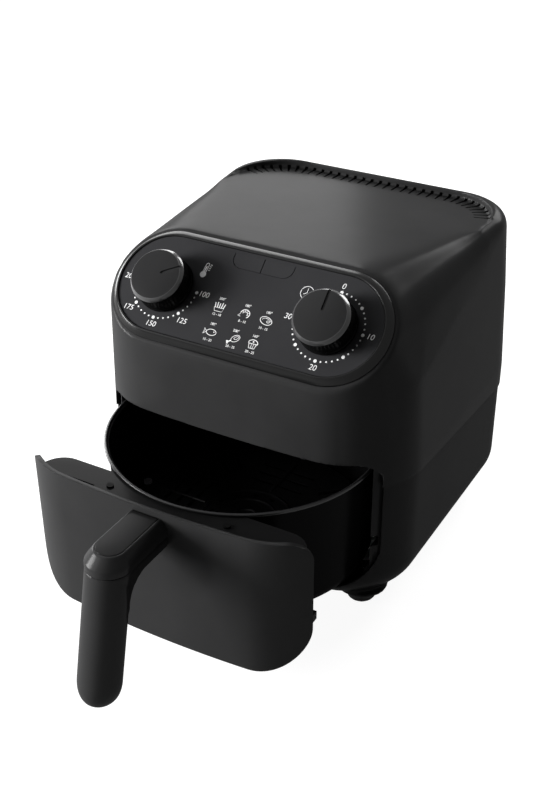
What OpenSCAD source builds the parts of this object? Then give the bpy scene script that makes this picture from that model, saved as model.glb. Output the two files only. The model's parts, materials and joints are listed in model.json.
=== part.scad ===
// Compact air fryer: moulded housing, slanted control panel with two knobs, and a
// pull-out drawer that carries a round pan. Origin: centre of the footprint on the
// surface that the appliance stands on. The front faces -Y and +Z is up.

/* [Housing] */
// Width of the housing at its widest, just above the side seam
body_w = 234; // [220:1:290]
// Distance from the origin to the middle of the front face
body_front = 120; // [116:1:150]
// Distance from the origin to the back face
body_back = 126; // [120:1:160]
// Radius of the gentle bow of the front face in plan
front_bow_r = 830; // [600:10:1500]
// Plan radius of the front vertical corners
front_corner_r = 55; // [45:1:60]
// Plan radius of the rear vertical corners
rear_corner_r = 50; // [35:1:60]
// Wall of the moulded shells
shell_wall = 2.5; // [2:0.1:3.5]
// Gap between the surface underneath and the flat bottom
ground_gap = 10; // [8:0.5:16]
// Radius of the rounded bottom edge
bottom_edge_r = 22; // [14:1:28]
// Height of the side seam, measured at the middle of the side
seam_z = 97.3; // [90:0.1:100]
// Fall of the side seam from front to back, per unit of depth
seam_fall = 0.0755; // [0:0.0005:0.12]
// Step by which the lower moulding sits inside the upper one
seam_step = 1; // [0.5:0.1:1.5]
// Open line between the two mouldings
seam_gap = 0.6; // [0.4:0.1:1]
// Amount that each side wall leans in from the seam up to the shoulder
side_lean = 5; // [2:0.5:8]
// Height of the raised rim at the back of the top
rim_z = 227; // [224:1:230]
// Height of the top surface where it meets the foot of the rear rim
vent_floor_z = 221; // [214:0.5:222]
// Height of the soft shoulder at each side
shoulder_z = 215; // [205:1:220]

/* [Feet] */
// Distance between the left and right feet
foot_span_x = 174; // [150:1:180]
// Distance between the front and rear feet
foot_span_y = 170; // [150:1:180]
// Radius of a foot where it meets the pad
foot_r = 10; // [8:0.5:12]
// Radius of a foot at its root
foot_root_r = 14; // [12:0.5:16]
// Radius of a rubber pad
pad_r = 8; // [6:0.5:9]
// Height that a pad stands proud of its foot
pad_proud = 1.5; // [1:0.1:2]

/* [Control panel] */
// Slope of the panel above the horizontal, in degrees
panel_tilt = 42.4; // [38:0.1:48]
// Distance of the panel centre in front of the origin
panel_front = 90; // [86:1:94]
// Height of the panel centre
panel_z = 207; // [203:1:210]
// Half length of the printed fascia
fascia_half_l = 95.5; // [90:0.5:97]
// Half height of the printed fascia
fascia_half_h = 33.8; // [32:0.1:35]
// Width of the sloping bezel round the fascia
bezel_w = 5.5; // [4:0.5:6]
// Drop of the bezel from the fascia to the housing
bezel_drop = 3.5; // [2.5:0.5:4]
// Distance of each knob from the panel centre
knob_offset = 60; // [56:1:62]
// Radius of a knob
knob_r = 18.6; // [16:0.1:20]
// Height of a knob above the fascia
knob_h = 17.8; // [14:0.1:22]
// Radius of a control spindle
spindle_r = 3; // [2.5:0.1:3.5]

/* [Vents] */
// Number of vent slots along the straight rear wall
vent_count_back = 17; // [13:2:19]
// Width of a vent slot
vent_w = 2.8; // [2:0.1:3.2]

/* [Drawer] */
// Distance that the drawer stands pulled out
drawer_out = 89.5; // [60:0.5:110]
// Half width of the drawer opening in the housing
opening_half_w = 104.3; // [100:0.1:104.5]
// Top of the drawer opening
opening_top_z = 123.4; // [121:0.1:126]
// Bottom of the drawer opening
opening_bottom_z = 21; // [20.5:0.5:24]
// Running gap round the drawer front
drawer_gap = 0.8; // [0.6:0.1:1.2]
// Thickness of the drawer front
front_t = 3; // [2.5:0.1:3.5]
// Height of the flat top of the bracket behind the drawer front
bracket_z = 111; // [106:0.1:112]

/* [Pan] */
// Outer radius of the pan wall
pan_r = 92.5; // [85:0.5:93]
// Radius of the rounded lower edge of the pan
pan_edge_r = 12; // [12:1:16]
// Height of the underside of the pan
pan_bottom_z = 24; // [24:0.5:30]
// Height of the top of the rolled pan rim
pan_top_z = 113.5; // [108:0.1:114]
// Sheet thickness of the pan
pan_t = 1.2; // [0.8:0.1:1.5]
// Radius of the rolled bead at the pan rim
pan_bead_r = 1.2; // [0.8:0.1:1.4]
// Height of the top face of the crisper plate
crisper_z = 42; // [38:1:54]
// Gap between the crisper bumpers and the pan wall
crisper_gap = 0.4; // [0.3:0.1:1]

/* [Handle] */
// Width of the handle arm
handle_w = 30; // [26:1:34]
// Reach of the handle in front of the drawer front
handle_reach = 53.5; // [46:0.5:60]
// Height of the top face of the arm
handle_top_z = 119; // [116:0.5:120]
// Height of the underside of the arm
handle_under_z = 100.5; // [98:0.5:102]
// Lowest point of the grip
grip_bottom_z = 18; // [12:1:30]
// Lean of the grip away from the drawer, in degrees
grip_lean = 13.5; // [4:0.5:15]
// Thickness of the grip from front to back
grip_t = 18.5; // [16:0.5:21]

/* [Heater and fan] */
// Inner radius of the reflector dome over the pan
dome_r = 76; // [74:0.5:77]
// Height of the ceiling of the cooking chamber
ceiling_z = 122.7; // [122.6:0.1:124]
// Height of the top of the reflector dome
dome_top_z = 153; // [150:0.5:156]
// Radius of the heating element tube
element_tube_r = 3.2; // [2.5:0.1:3.5]
// Radius of the hot-air fan
hot_fan_r = 40; // [34:1:41]
// Radius of the motor cooling fan
cool_fan_r = 44; // [38:1:46]
// Radius of the motor shaft
shaft_r = 3; // [2.5:0.1:3.5]

/* [Hidden] */

$fn = 96;
half_w = body_w / 2;
// General clearance between static pieces, and between pieces that move past each other
fit_gap = 0.3;
run_gap = 0.3;
bore_gap = 0.05;
// A length that passes right through any wall
far = 400;

// ---------- shared outlines ----------

// Points along an arc, from angle a0 to a1 in n steps
function arc(cx, cy, r, a0, a1, n) =
    [for (i = [0:n]) [cx + r * cos(a0 + (a1 - a0) * i / n), cy + r * sin(a0 + (a1 - a0) * i / n)]];

// Centre of a front corner arc, which touches the bowed front from inside
corner_x = half_w - front_corner_r;
bow_y = front_bow_r - body_front;
corner_y = bow_y - sqrt(pow(front_bow_r - front_corner_r, 2) - pow(corner_x, 2));
bow_angle = atan2(corner_x, bow_y - corner_y);

// Half of the plan outline, from the middle of the front to the middle of the back
function half_plan(inset) = concat(
    arc(0, bow_y, front_bow_r - inset, -90, bow_angle - 90, 4),
    arc(corner_x, corner_y, front_corner_r - inset, bow_angle - 90, 0, 8),
    arc(half_w - rear_corner_r, body_back - rear_corner_r, rear_corner_r - inset, 0, 90, 8)
);

function mirrored(points) = concat(
    points,
    [for (i = [len(points) - 1:-1:0]) [-points[i][0], points[i][1]]]
);

module plan_slab(inset, z, h) {
    translate([0, 0, z]) linear_extrude(h) polygon(mirrored(half_plan(inset)));
}

// Plan outline with true arcs
module plan_exact(inset) {
    front_r = front_corner_r - inset;
    rear_r = rear_corner_r - inset;
    rear_x = half_w - rear_corner_r;
    rear_y = body_back - rear_corner_r;
    touch_x = corner_x + front_r * sin(bow_angle);
    touch_y = corner_y - front_r * cos(bow_angle);
    for (s = [-1, 1]) translate([s * corner_x, corner_y]) circle(front_r);
    for (s = [-1, 1]) translate([s * rear_x, rear_y]) circle(rear_r);
    polygon([
        [-touch_x, touch_y], [touch_x, touch_y], [half_w - inset, corner_y],
        [half_w - inset, rear_y], [rear_x, body_back - inset], [-rear_x, body_back - inset],
        [-half_w + inset, rear_y], [-half_w + inset, corner_y]
    ]);
    intersection() {
        translate([0, bow_y]) circle(front_bow_r - inset, $fn = 720);
        translate([-touch_x, -body_front - 1]) square([2 * touch_x, touch_y + body_front + 1]);
    }
}

// Rounded rectangle seen from the front, with its own top and bottom corner radii
module front_outline(hw, z0, z1, r0, r1) {
    for (s = [-1, 1]) translate([s * (hw - r0), z0 + r0]) circle(r0);
    for (s = [-1, 1]) translate([s * (hw - r1), z1 - r1]) circle(r1);
    translate([-hw, z0 + r0]) square([2 * hw, z1 - r1 - z0 - r0]);
    translate([-hw + r0, z0]) square([2 * (hw - r0), z1 - z0 - r1]);
    translate([-hw + r1, z0 + r0]) square([2 * (hw - r1), z1 - z0 - r0]);
}

// Extrudes a front outline along Y, from y0 to y1
module along_y(y0, y1) {
    translate([0, y1, 0]) rotate([90, 0, 0]) linear_extrude(y1 - y0) children();
}

// Corner radii of the drawer opening and of the mouth behind it
opening_r0 = 36;
opening_r1 = 14;
mouth_clear = 0.7;
mouth_r0 = 15;
mouth_r1 = 5;
pan_rim_r = pan_r + 2 * pan_bead_r;
mouth_half_w = pan_rim_r + mouth_clear;
mouth_z0 = pan_bottom_z - 1;
mouth_z1 = 120.6;

module opening_shape(grow) {
    front_outline(opening_half_w + grow, opening_bottom_z - grow, opening_top_z + grow,
        opening_r0 + grow, opening_r1 + grow);
}

module mouth_shape(grow) {
    front_outline(mouth_half_w + grow, mouth_z0 - grow, mouth_z1 + grow,
        mouth_r0 + grow, mouth_r1 + grow);
}

// Sweeps a profile round the front of the housing. In the profile, X is the
// distance inward from the face and Y is the height.
module front_sweep(wrap) {
    lap = 0.02;
    translate([0, bow_y, 0]) rotate([0, 0, -90 - bow_angle - lap])
        rotate_extrude(angle = 2 * bow_angle + 2 * lap, $fn = 720)
        translate([front_bow_r, 0]) mirror([1, 0]) children();
    translate([corner_x, corner_y, 0]) rotate([0, 0, bow_angle - 90])
        rotate_extrude(angle = wrap) translate([front_corner_r, 0]) mirror([1, 0]) children();
    translate([-corner_x, corner_y, 0]) rotate([0, 0, -90 - bow_angle - wrap])
        rotate_extrude(angle = wrap) translate([front_corner_r, 0]) mirror([1, 0]) children();
}

// Places children on the panel: X along it, Y up the slope, Z out of it
module on_panel() {
    translate([0, -panel_front, panel_z]) rotate([panel_tilt, 0, 0]) children();
}

// Offset of the fascia centre above the line of the knobs
fascia_v = 1.3;

module stadium(half_l, half_h) {
    for (s = [-1, 1]) translate([s * (half_l - half_h), 0]) circle(half_h);
    square([2 * (half_l - half_h), 2 * half_h], center = true);
}

module panel_stadium(grow, h0, h1) {
    on_panel() translate([0, fascia_v, h0]) linear_extrude(h1 - h0)
        stadium(fascia_half_l + grow, fascia_half_h + grow);
}

// Places children at a place on the floor for each of four mirrored corners
module four_corners(x, y0, y1) {
    for (s = [-1, 1]) for (y = [y0, y1]) translate([s * x, y, 0]) children();
}

// Front of the pan when the drawer is shut
pan_front_y = -95.5;
// Axis of the pan, the fans and the motor when the drawer is shut
pan_y = pan_front_y + pan_r;

// ---------- housing ----------

// The rim and the shoulders keep these distances from the plan outline
rim_inset = 6.5;
rim_r = 11;
shoulder_inset = 9;
shoulder_r = 9;
shoulder_front_y = -45;
panel_margin = 2.6;
// The side walls stand upright up to this height, and lean in above it
upright_z = 107;
lean_z = 170;

// Solid form of the upper housing, shrunk by inset
module upper_form(inset, rim_height) {
    facet_h = -bezel_drop - inset;
    hull() {
        plan_slab(inset, 80, upright_z - 80);
        plan_slab(inset + side_lean * 0.65, lean_z, 1);
        on_panel() translate([0, fascia_v, facet_h - 1]) linear_extrude(1)
            stadium(fascia_half_l + bezel_w + panel_margin - inset,
                fascia_half_h + bezel_w + panel_margin - inset, $fn = 64);
        for (s = [-1, 1]) for (y = [shoulder_front_y, body_back - rear_corner_r])
            translate([s * (half_w - shoulder_inset - shoulder_r), y, shoulder_z - shoulder_r - inset])
                sphere(shoulder_r, $fn = 24);
        for (s = [-1, 1])
            translate([s * (half_w - rear_corner_r), body_back - rear_corner_r, rim_height - rim_r - inset])
                rotate_extrude($fn = 48)
                    translate([rear_corner_r - rim_inset - rim_r, 0]) circle(rim_r, $fn = 24);
    }
}

// Places children in the plane of the seam, which falls towards the back
module on_seam(lift) {
    translate([0, 0, seam_z + lift]) rotate([-atan(seam_fall), 0, 0]) children();
}

module above_seam(lift) {
    on_seam(lift) translate([-far / 2, -far / 2, 0]) cube([far, far, far]);
}

module below_seam(lift) {
    on_seam(lift) translate([-far / 2, -far / 2, -far]) cube([far, far, far]);
}

// Plan outline of the lowered top surface inside the rim
recess_half_w = half_w - 15;
recess_back = body_back - 15;
recess_r = 46;
crest_y = -54;
crest_rise = 26.5;
top_fall = (panel_z + crest_rise - vent_floor_z) / (recess_back - crest_y);

module recess_outline() {
    for (s = [-1, 1]) translate([s * (recess_half_w - recess_r), recess_back - recess_r]) circle(recess_r);
    translate([-recess_half_w, -panel_front])
        square([2 * recess_half_w, recess_back - recess_r + panel_front]);
    translate([-recess_half_w + recess_r, -panel_front])
        square([2 * (recess_half_w - recess_r), recess_back + panel_front]);
}

// Places children on the top surface, which falls from the panel crest to the rear rim
module on_top() {
    translate([0, recess_back, vent_floor_z]) rotate([-atan(top_fall), 0, 0])
        translate([0, -recess_back, 0]) children();
}

// One vent: a slot at the foot of the rim, with a short groove in front of it
vent_len = 5;
vent_reach = 1.2;
groove_len = 6;
groove_depth = 0.8;

module vent_cut() {
    hull() for (y = [vent_reach, vent_reach - vent_len])
        translate([0, y, -shell_wall - 4]) cylinder(d = vent_w, h = shell_wall + 8, $fn = 12);
    hull() for (y = [0, -vent_len - groove_len])
        translate([0, y, -groove_depth]) cylinder(d = vent_w * 0.7, h = 8, $fn = 12);
}

vent_half_run = recess_half_w - recess_r;
vent_pitch = 2 * vent_half_run / (vent_count_back - 1);
vent_corner_count = 5;
vent_corner_step = 15.5;

module vents() {
    for (i = [0:vent_count_back - 1])
        on_top() translate([-vent_half_run + i * vent_pitch, recess_back, 0]) vent_cut();
    for (s = [-1, 1]) for (i = [1:vent_corner_count])
        on_top() translate([s * vent_half_run, recess_back - recess_r, 0])
            rotate([0, 0, -s * i * vent_corner_step]) translate([0, recess_r, 0]) vent_cut();
}

// The drawer opening is cut through the front wall, as far back as this
opening_cut_y = -40;

// The inner form stops this far below the top, where the sheet of the top begins
module upper_shell() {
    color([0.07, 0.07, 0.075]) difference() {
        upper_form(0, rim_z);
        upper_form(shell_wall, vent_floor_z);
        on_top() linear_extrude(30) recess_outline();
        vents();
        below_seam(seam_gap / 2);
        along_y(-far, opening_cut_y) opening_shape(0);
        panel_stadium(bezel_w - 1.2, -30, 30);
    }
}

module lower_form(inset) {
    steps = 6;
    edge = bottom_edge_r - inset;
    hull() {
        plan_slab(seam_step + inset, ground_gap + bottom_edge_r, 100);
        for (i = [1:steps]) plan_slab(seam_step + inset + edge * (1 - cos(90 * i / steps)),
            ground_gap + bottom_edge_r - edge * sin(90 * i / steps), 0.1);
    }
}

lip_t = 1.5;
lip_h = 6;
floor_top = ground_gap + shell_wall;
// Bosses that carry the cavity floor, and their screws
boss_angle = 48;
liner_r = mouth_half_w + 0.6;
boss_x = (liner_r - 2.2) * sin(boss_angle);
boss_y0 = -50;
boss_y1 = pan_y + (liner_r - 2.2) * cos(boss_angle);
boss_r = 5;
deck_z = 17;
screw_r = 1.5;
screw_head_r = 3;
screw_head_h = 2;
// Window for the rear grille
window_half_w = 34;
window_h = 34;
grille_flange = 3;
window_clear = 0.8;
window_z1 = seam_z - seam_fall * body_back - lip_h - grille_flange - window_clear;
window_z0 = window_z1 - window_h;
gland_x = 58;
gland_z = 44;
gland_r = 6;

module lower_lip() {
    intersection() {
        difference() {
            plan_slab(shell_wall + fit_gap, 60, 80);
            plan_slab(shell_wall + fit_gap + lip_t, 50, 100);
        }
        below_seam(lip_h);
        above_seam(-lip_h);
    }
}

module lower_housing() {
    color([0.075, 0.075, 0.08]) difference() {
        union() {
            difference() {
                intersection() {
                    lower_form(0);
                    below_seam(-seam_gap / 2);
                }
                lower_form(shell_wall);
            }
            lower_lip();
            four_corners(foot_span_x / 2, -foot_span_y / 2 + 1, foot_span_y / 2 + 1)
                translate([0, 0, pad_proud])
                    cylinder(r1 = foot_r, r2 = foot_root_r, h = floor_top - pad_proud);
            four_corners(boss_x, boss_y0, boss_y1)
                translate([0, 0, floor_top - 1]) cylinder(r = boss_r, h = deck_z - floor_top + 1);
        }
        along_y(-far, opening_cut_y) opening_shape(0);
        along_y(body_back - 20, far) rear_window(0);
        translate([gland_x, 0, gland_z]) rotate([-90, 0, 0]) cylinder(r = gland_r + fit_gap, h = far);
        four_corners(foot_span_x / 2, -foot_span_y / 2 + 1, foot_span_y / 2 + 1)
            cylinder(r = pad_r + fit_gap, h = pad_proud + pad_seat);
        four_corners(boss_x, boss_y0, boss_y1) {
            cylinder(r = screw_head_r + fit_gap, h = ground_gap + screw_head_h + fit_gap);
            cylinder(r = screw_r + bore_gap, h = deck_z + 1);
        }
    }
}

module rear_window(grow) {
    translate([-window_half_w - grow, window_z0 - grow])
        square([2 * (window_half_w + grow), window_z1 - window_z0 + 2 * grow]);
}

pad_seat = 2.5;

module foot_pads() {
    color([0.05, 0.05, 0.05]) four_corners(foot_span_x / 2, -foot_span_y / 2 + 1, foot_span_y / 2 + 1)
        cylinder(r = pad_r, h = pad_proud + pad_seat);
}

// ---------- drawer bay ----------

sheet_t = 1.2;
liner_y0 = -75.5;
floor_y0 = -78;
ceiling_y0 = -79.6;
frame_inset = 5;
frame_wall = 2;
landing_y = -82.6;
landing_t = 2.6;
sleeve_t = 1.8;
runner_x = 52;
runner_y0 = -58;
runner_w = 8;

// Plan of the bay: straight sides at the front and a half circle at the back
module bay_plan(r, y0) {
    intersection() {
        translate([0, pan_y]) circle(r);
        translate([-r, pan_y]) square([2 * r, r]);
    }
    translate([-r, y0]) square([2 * r, pan_y - y0]);
}

module cavity_floor() {
    color([0.62, 0.63, 0.64]) translate([0, 0, deck_z]) linear_extrude(sheet_t) difference() {
        bay_plan(liner_r + sheet_t, floor_y0);
        for (s = [-1, 1]) for (y = [boss_y0, boss_y1]) translate([s * boss_x, y]) circle(screw_r + bore_gap);
    }
}

module pan_runners() {
    top = pan_bottom_z - run_gap;
    outer_x = runner_x + runner_w / 2;
    rear_y = pan_y + sqrt(pow(liner_r, 2) - pow(outer_x, 2)) - 13;
    color([0.5, 0.5, 0.5]) for (s = [-1, 1])
        translate([s * runner_x - runner_w / 2, runner_y0, deck_z + sheet_t])
            cube([runner_w, rear_y - runner_y0, top - deck_z - sheet_t]);
}

module floor_screws() {
    color([0.6, 0.6, 0.6]) four_corners(boss_x, boss_y0, boss_y1) {
        translate([0, 0, ground_gap]) cylinder(r = screw_head_r, h = screw_head_h);
        translate([0, 0, ground_gap + 1]) cylinder(r = screw_r, h = deck_z + sheet_t + 1.5 - ground_gap - 1);
    }
}

module front_frame() {
    color([0.06, 0.06, 0.065]) difference() {
        union() {
            intersection() {
                along_y(-far, landing_y + landing_t) opening_shape(-fit_gap);
                linear_extrude(far) plan_exact(frame_inset);
            }
            along_y(landing_y, liner_y0 - 0.5) mouth_shape(sleeve_t);
        }
        along_y(-far, landing_y) opening_shape(-fit_gap - frame_wall);
        along_y(-far, far) mouth_shape(0);
        along_y(landing_y - 1, far) translate([plunger_x, plunger_z]) circle(plunger_r + bore_gap);
    }
}

grille_depth = 3.2;
duct_half_w = 30;
duct_z0 = window_z0 + 4;
duct_z1 = window_z1 - 4;
duct_t = 1.2;
duct_y1 = body_back - seam_step - shell_wall - grille_depth - fit_gap;

module duct_shape(grow) {
    translate([-duct_half_w - grow, duct_z0 - grow])
        square([2 * (duct_half_w + grow), duct_z1 - duct_z0 + 2 * grow]);
}

module chamber_liner() {
    color([0.68, 0.69, 0.7]) difference() {
        union() {
            translate([0, 0, deck_z + sheet_t]) linear_extrude(ceiling_z - deck_z)
                bay_plan(liner_r + sheet_t, liner_y0);
            translate([0, 0, ceiling_z]) linear_extrude(sheet_t) bay_plan(liner_r + sheet_t, ceiling_y0);
        }
        translate([0, 0, deck_z]) linear_extrude(ceiling_z - deck_z) bay_plan(liner_r, liner_y0 - 5);
        translate([0, pan_y, ceiling_z - 1]) cylinder(r = dome_r, h = sheet_t + 2);
        along_y(pan_y + 60, far) duct_shape(0);
    }
}

module exhaust_duct() {
    color([0.66, 0.67, 0.68]) difference() {
        along_y(pan_y + 60, duct_y1) duct_shape(duct_t);
        along_y(pan_y, far) duct_shape(0);
        translate([0, pan_y, 0]) cylinder(r = liner_r + sheet_t, h = far);
    }
}

grille_slots = 6;

module rear_grille() {
    pitch = (window_z1 - window_z0 - 4) / grille_slots;
    inner_y = body_back - seam_step - shell_wall;
    color([0.06, 0.06, 0.06]) difference() {
        union() {
            along_y(inner_y - 2.2, body_back - seam_step) rear_window(-fit_gap);
            along_y(inner_y - grille_depth, inner_y - 0.1) rear_window(grille_flange);
        }
        for (i = [0:grille_slots - 1])
            translate([-duct_half_w + 1, inner_y - 10, window_z0 + 2 + i * pitch + 1])
                cube([2 * (duct_half_w - 1), 20, pitch - 2]);
    }
}

module cord_gland() {
    inner_y = body_back - seam_step - shell_wall;
    color([0.05, 0.05, 0.05]) translate([gland_x, inner_y, gland_z]) rotate([-90, 0, 0]) difference() {
        union() {
            translate([0, 0, -1]) cylinder(r = gland_r, h = shell_wall + 4);
            translate([0, 0, -6]) cylinder(r = gland_r + 3, h = 5.9);
            translate([0, 0, shell_wall + 1.5]) cylinder(r = gland_r + 2, h = 1.5);
        }
        translate([0, 0, -7]) cylinder(r = 3, h = 20);
    }
}

// ---------- heater and fan ----------

dome_t = 1;
dome_flange_r = dome_r + 10;
dome_flat_r = 60;

module dome_profile() {
    polygon([
        [shaft_r + 1, dome_top_z - dome_t], [dome_flat_r, dome_top_z - dome_t],
        [dome_r - dome_t, ceiling_z + sheet_t + 6], [dome_r - dome_t, ceiling_z],
        [dome_r - 0.2, ceiling_z], [dome_r - 0.2, ceiling_z + sheet_t],
        [dome_flange_r, ceiling_z + sheet_t], [dome_flange_r, ceiling_z + sheet_t + dome_t],
        [dome_r, ceiling_z + sheet_t + dome_t], [dome_r, ceiling_z + sheet_t + 6.4],
        [dome_flat_r + 0.4, dome_top_z], [shaft_r + 1, dome_top_z]
    ]);
}

module on_axis() {
    translate([0, pan_y, 0]) children();
}

module reflector_dome() {
    color([0.75, 0.76, 0.77]) on_axis() difference() {
        rotate_extrude() dome_profile();
        for (r = [element_r1, element_r2]) rotate([0, 0, 60]) translate([r, 0, dome_top_z - 12])
            cylinder(r = element_tube_r + 0.5, h = 30);
    }
}

guard_rod_r = 1.1;
guard_z = ceiling_z - guard_rod_r;

module element_guard() {
    color([0.7, 0.7, 0.7]) on_axis() {
        for (r = [18, 34, 50, 66]) translate([0, 0, guard_z]) rotate_extrude()
            translate([r, 0]) circle(guard_rod_r, $fn = 48);
        for (a = [0:60:300]) rotate([0, 0, a]) translate([18, 0, guard_z]) rotate([0, 90, 0])
            cylinder(r = guard_rod_r * 0.9, h = dome_r + 5 - 18, $fn = 48);
    }
}

element_r1 = 46;
element_r2 = 60;
element_z = ceiling_z + 6;

module heating_element() {
    lead_r = element_tube_r - 0.4;
    color([0.3, 0.28, 0.27]) on_axis() {
        for (r = [element_r1, element_r2]) translate([0, 0, element_z]) rotate_extrude()
            translate([r, 0]) circle(element_tube_r);
        rotate([0, 0, 240]) translate([element_r1, 0, element_z]) rotate([0, 90, 0])
            cylinder(r = lead_r, h = element_r2 - element_r1);
        for (r = [element_r1, element_r2]) rotate([0, 0, 60]) translate([r, 0, element_z])
            cylinder(r = lead_r, h = 40);
    }
}

module element_clips() {
    color([0.72, 0.72, 0.72]) on_axis() for (a = [180, 270, 360]) rotate([0, 0, a]) {
        for (r = [element_r1, element_r2]) translate([r, -3, element_z]) rotate([-90, 0, 0]) difference() {
            cylinder(r = element_tube_r + 1, h = 6);
            translate([0, 0, -1]) cylinder(r = element_tube_r + 0.1, h = 8);
        }
        translate([element_r2 + element_tube_r + 0.5, -3, element_z - 0.6])
            cube([dome_r - dome_t - element_r2 - element_tube_r - 0.6, 6, 1.2]);
        translate([element_r1 + element_tube_r + 0.5, -3, element_z - 0.6])
            cube([element_r2 - element_r1 - 2 * element_tube_r - 1, 6, 1.2]);
    }
}

plate_z = 160;
plate_t = 1.5;
post_x = 88;
post_y0 = -48;
post_y1 = 58;

module insulation_disc() {
    color([0.85, 0.83, 0.78]) on_axis() translate([0, 0, dome_top_z]) difference() {
        cylinder(r = dome_flat_r, h = plate_z - dome_top_z);
        translate([0, 0, -1]) cylinder(r = shaft_r + 4, h = 20);
        for (r = [element_r1, element_r2]) rotate([0, 0, 60]) translate([r, 0, -1])
            cylinder(r = element_tube_r + 0.5, h = 20);
    }
}

module motor_plate() {
    color([0.7, 0.71, 0.72]) difference() {
        translate([-post_x - 5, post_y0 - 5, plate_z])
            cube([2 * post_x + 10, post_y1 - post_y0 + 10, plate_t]);
        on_axis() cylinder(r = shaft_r + 1, h = far);
        on_axis() for (r = [element_r1, element_r2]) rotate([0, 0, 60]) translate([r, 0, 0])
            cylinder(r = element_tube_r + 0.5, h = far);
        for (s = [-1, 1]) translate([s * bolt_x, pan_y, 0]) cylinder(r = bolt_r + bore_gap, h = far);
        four_corners(post_x, post_y0, post_y1) cylinder(r = 2, h = far);
    }
}

module plate_posts() {
    z0 = ceiling_z + sheet_t;
    color([0.65, 0.65, 0.66]) four_corners(post_x, post_y0, post_y1) {
        translate([0, 0, z0]) cylinder(r = 4, h = plate_z - z0);
        translate([0, 0, plate_z - 1]) cylinder(r = 1.9, h = 5);
    }
}

// Motor stack heights above the plate
strip_rise = 6;
stack_z0 = 172;
stack_z1 = 194;
rotor_r = 14;
air_gap = 0.5;
bolt_x = 24;
bolt_r = 2;
bush_r = 6;
strip_t = 2;
lower_bracket_z = stack_z0 - strip_rise;
upper_bracket_z = stack_z1 + strip_rise - strip_t;

module motor_bracket(z, foot_z0, foot_z1) {
    on_axis() difference() {
        union() {
            translate([-bolt_x - 5, -8, z]) cube([2 * bolt_x + 10, 16, strip_t]);
            for (s = [-1, 1]) translate([s * bolt_x, 0, foot_z0]) cylinder(r = 4, h = foot_z1 - foot_z0);
        }
        translate([0, 0, z - 1]) cylinder(r = bush_r, h = strip_t + 2);
        for (s = [-1, 1]) translate([s * bolt_x, 0, 0]) cylinder(r = bolt_r + bore_gap, h = far);
    }
}

module motor_lower_bracket() {
    color([0.72, 0.72, 0.73]) motor_bracket(lower_bracket_z, plate_z + plate_t, stack_z0);
}

module motor_upper_bracket() {
    color([0.72, 0.72, 0.73]) motor_bracket(upper_bracket_z, stack_z1, upper_bracket_z + strip_t);
}

module motor_stator() {
    color([0.4, 0.4, 0.42]) on_axis() difference() {
        translate([-31, -22, stack_z0]) cube([62, 66, stack_z1 - stack_z0]);
        translate([0, 0, stack_z0 - 1]) cylinder(r = rotor_r + air_gap, h = 40);
        translate([-20, 21, stack_z0 - 1]) cube([40, 11, 40]);
        for (s = [-1, 1]) translate([s * bolt_x, 0, 0]) cylinder(r = bolt_r + bore_gap, h = far);
    }
}

module motor_coil() {
    color([0.72, 0.38, 0.18]) on_axis() difference() {
        translate([-17, 22, stack_z0 - 9]) cube([34, 32, stack_z1 - stack_z0 + 18]);
        translate([-18, 31.7, stack_z0 - 0.3]) cube([36, 12.6, stack_z1 - stack_z0 + 0.6]);
    }
}

module motor_bushes() {
    color([0.75, 0.6, 0.3]) on_axis() for (z = [lower_bracket_z, upper_bracket_z])
        translate([0, 0, z - 1.5]) difference() {
            cylinder(r = bush_r, h = strip_t + 3);
            translate([0, 0, -1]) cylinder(r = shaft_r + bore_gap, h = strip_t + 5);
        }
}

module motor_bolts() {
    color([0.6, 0.6, 0.62]) on_axis() for (s = [-1, 1]) translate([s * bolt_x, 0, 0]) {
        translate([0, 0, plate_z]) cylinder(r = bolt_r, h = upper_bracket_z + strip_t - plate_z + 0.5);
        translate([0, 0, upper_bracket_z + strip_t]) cylinder(r = 3.5, h = 2.5);
    }
}

// ---------- rotor ----------

hot_fan_z = 136;
hot_blade_h = 9;
cool_fan_z = 204;
cool_blade_h = 10;
nut_h = 3;
hub_r = 9;
hot_blades = 10;
cool_blades = 9;

module rotor_shaft() {
    color([0.75, 0.75, 0.77]) on_axis() translate([0, 0, hot_fan_z - nut_h - 1])
        cylinder(r = shaft_r, h = cool_fan_z + 9 - hot_fan_z + nut_h + 1);
}

module rotor_core() {
    color([0.6, 0.6, 0.62]) on_axis() translate([0, 0, stack_z0 + 0.5]) difference() {
        cylinder(r = rotor_r, h = stack_z1 - stack_z0 - 1);
        translate([0, 0, -1]) cylinder(r = shaft_r, h = 40);
    }
}

module blades(count, r0, r1, h, t, sweep) {
    for (i = [0:count - 1]) rotate([0, 0, i * 360 / count]) translate([r0, -t / 2, 0])
        rotate([0, 0, sweep]) cube([r1 - r0, t, h]);
}

module cooling_fan() {
    color([0.12, 0.12, 0.13]) on_axis() translate([0, 0, cool_fan_z]) difference() {
        union() {
            cylinder(r = hub_r, h = 8);
            cylinder(r = cool_fan_r - 1, h = 1);
            translate([0, 0, 0.5]) blades(cool_blades, hub_r - 1, cool_fan_r, cool_blade_h, 1.2, 12);
        }
        translate([0, 0, -1]) cylinder(r = shaft_r, h = 20);
    }
}

module hot_air_fan() {
    color([0.8, 0.8, 0.8]) on_axis() translate([0, 0, hot_fan_z]) difference() {
        union() {
            cylinder(r = hub_r, h = 5);
            translate([0, 0, hot_blade_h + 1]) cylinder(r = hot_fan_r - 1, h = 1);
            blades(hot_blades, hub_r - 1, hot_fan_r, hot_blade_h + 1.5, 1, 14);
        }
        translate([0, 0, -1]) cylinder(r = shaft_r, h = 20);
    }
}

module fan_nut() {
    color([0.75, 0.65, 0.35]) on_axis() translate([0, 0, hot_fan_z - nut_h]) difference() {
        cylinder(r = 6, h = nut_h, $fn = 6);
        translate([0, 0, -1]) cylinder(r = shaft_r, h = 10);
    }
}

// ---------- control panel ----------

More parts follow.
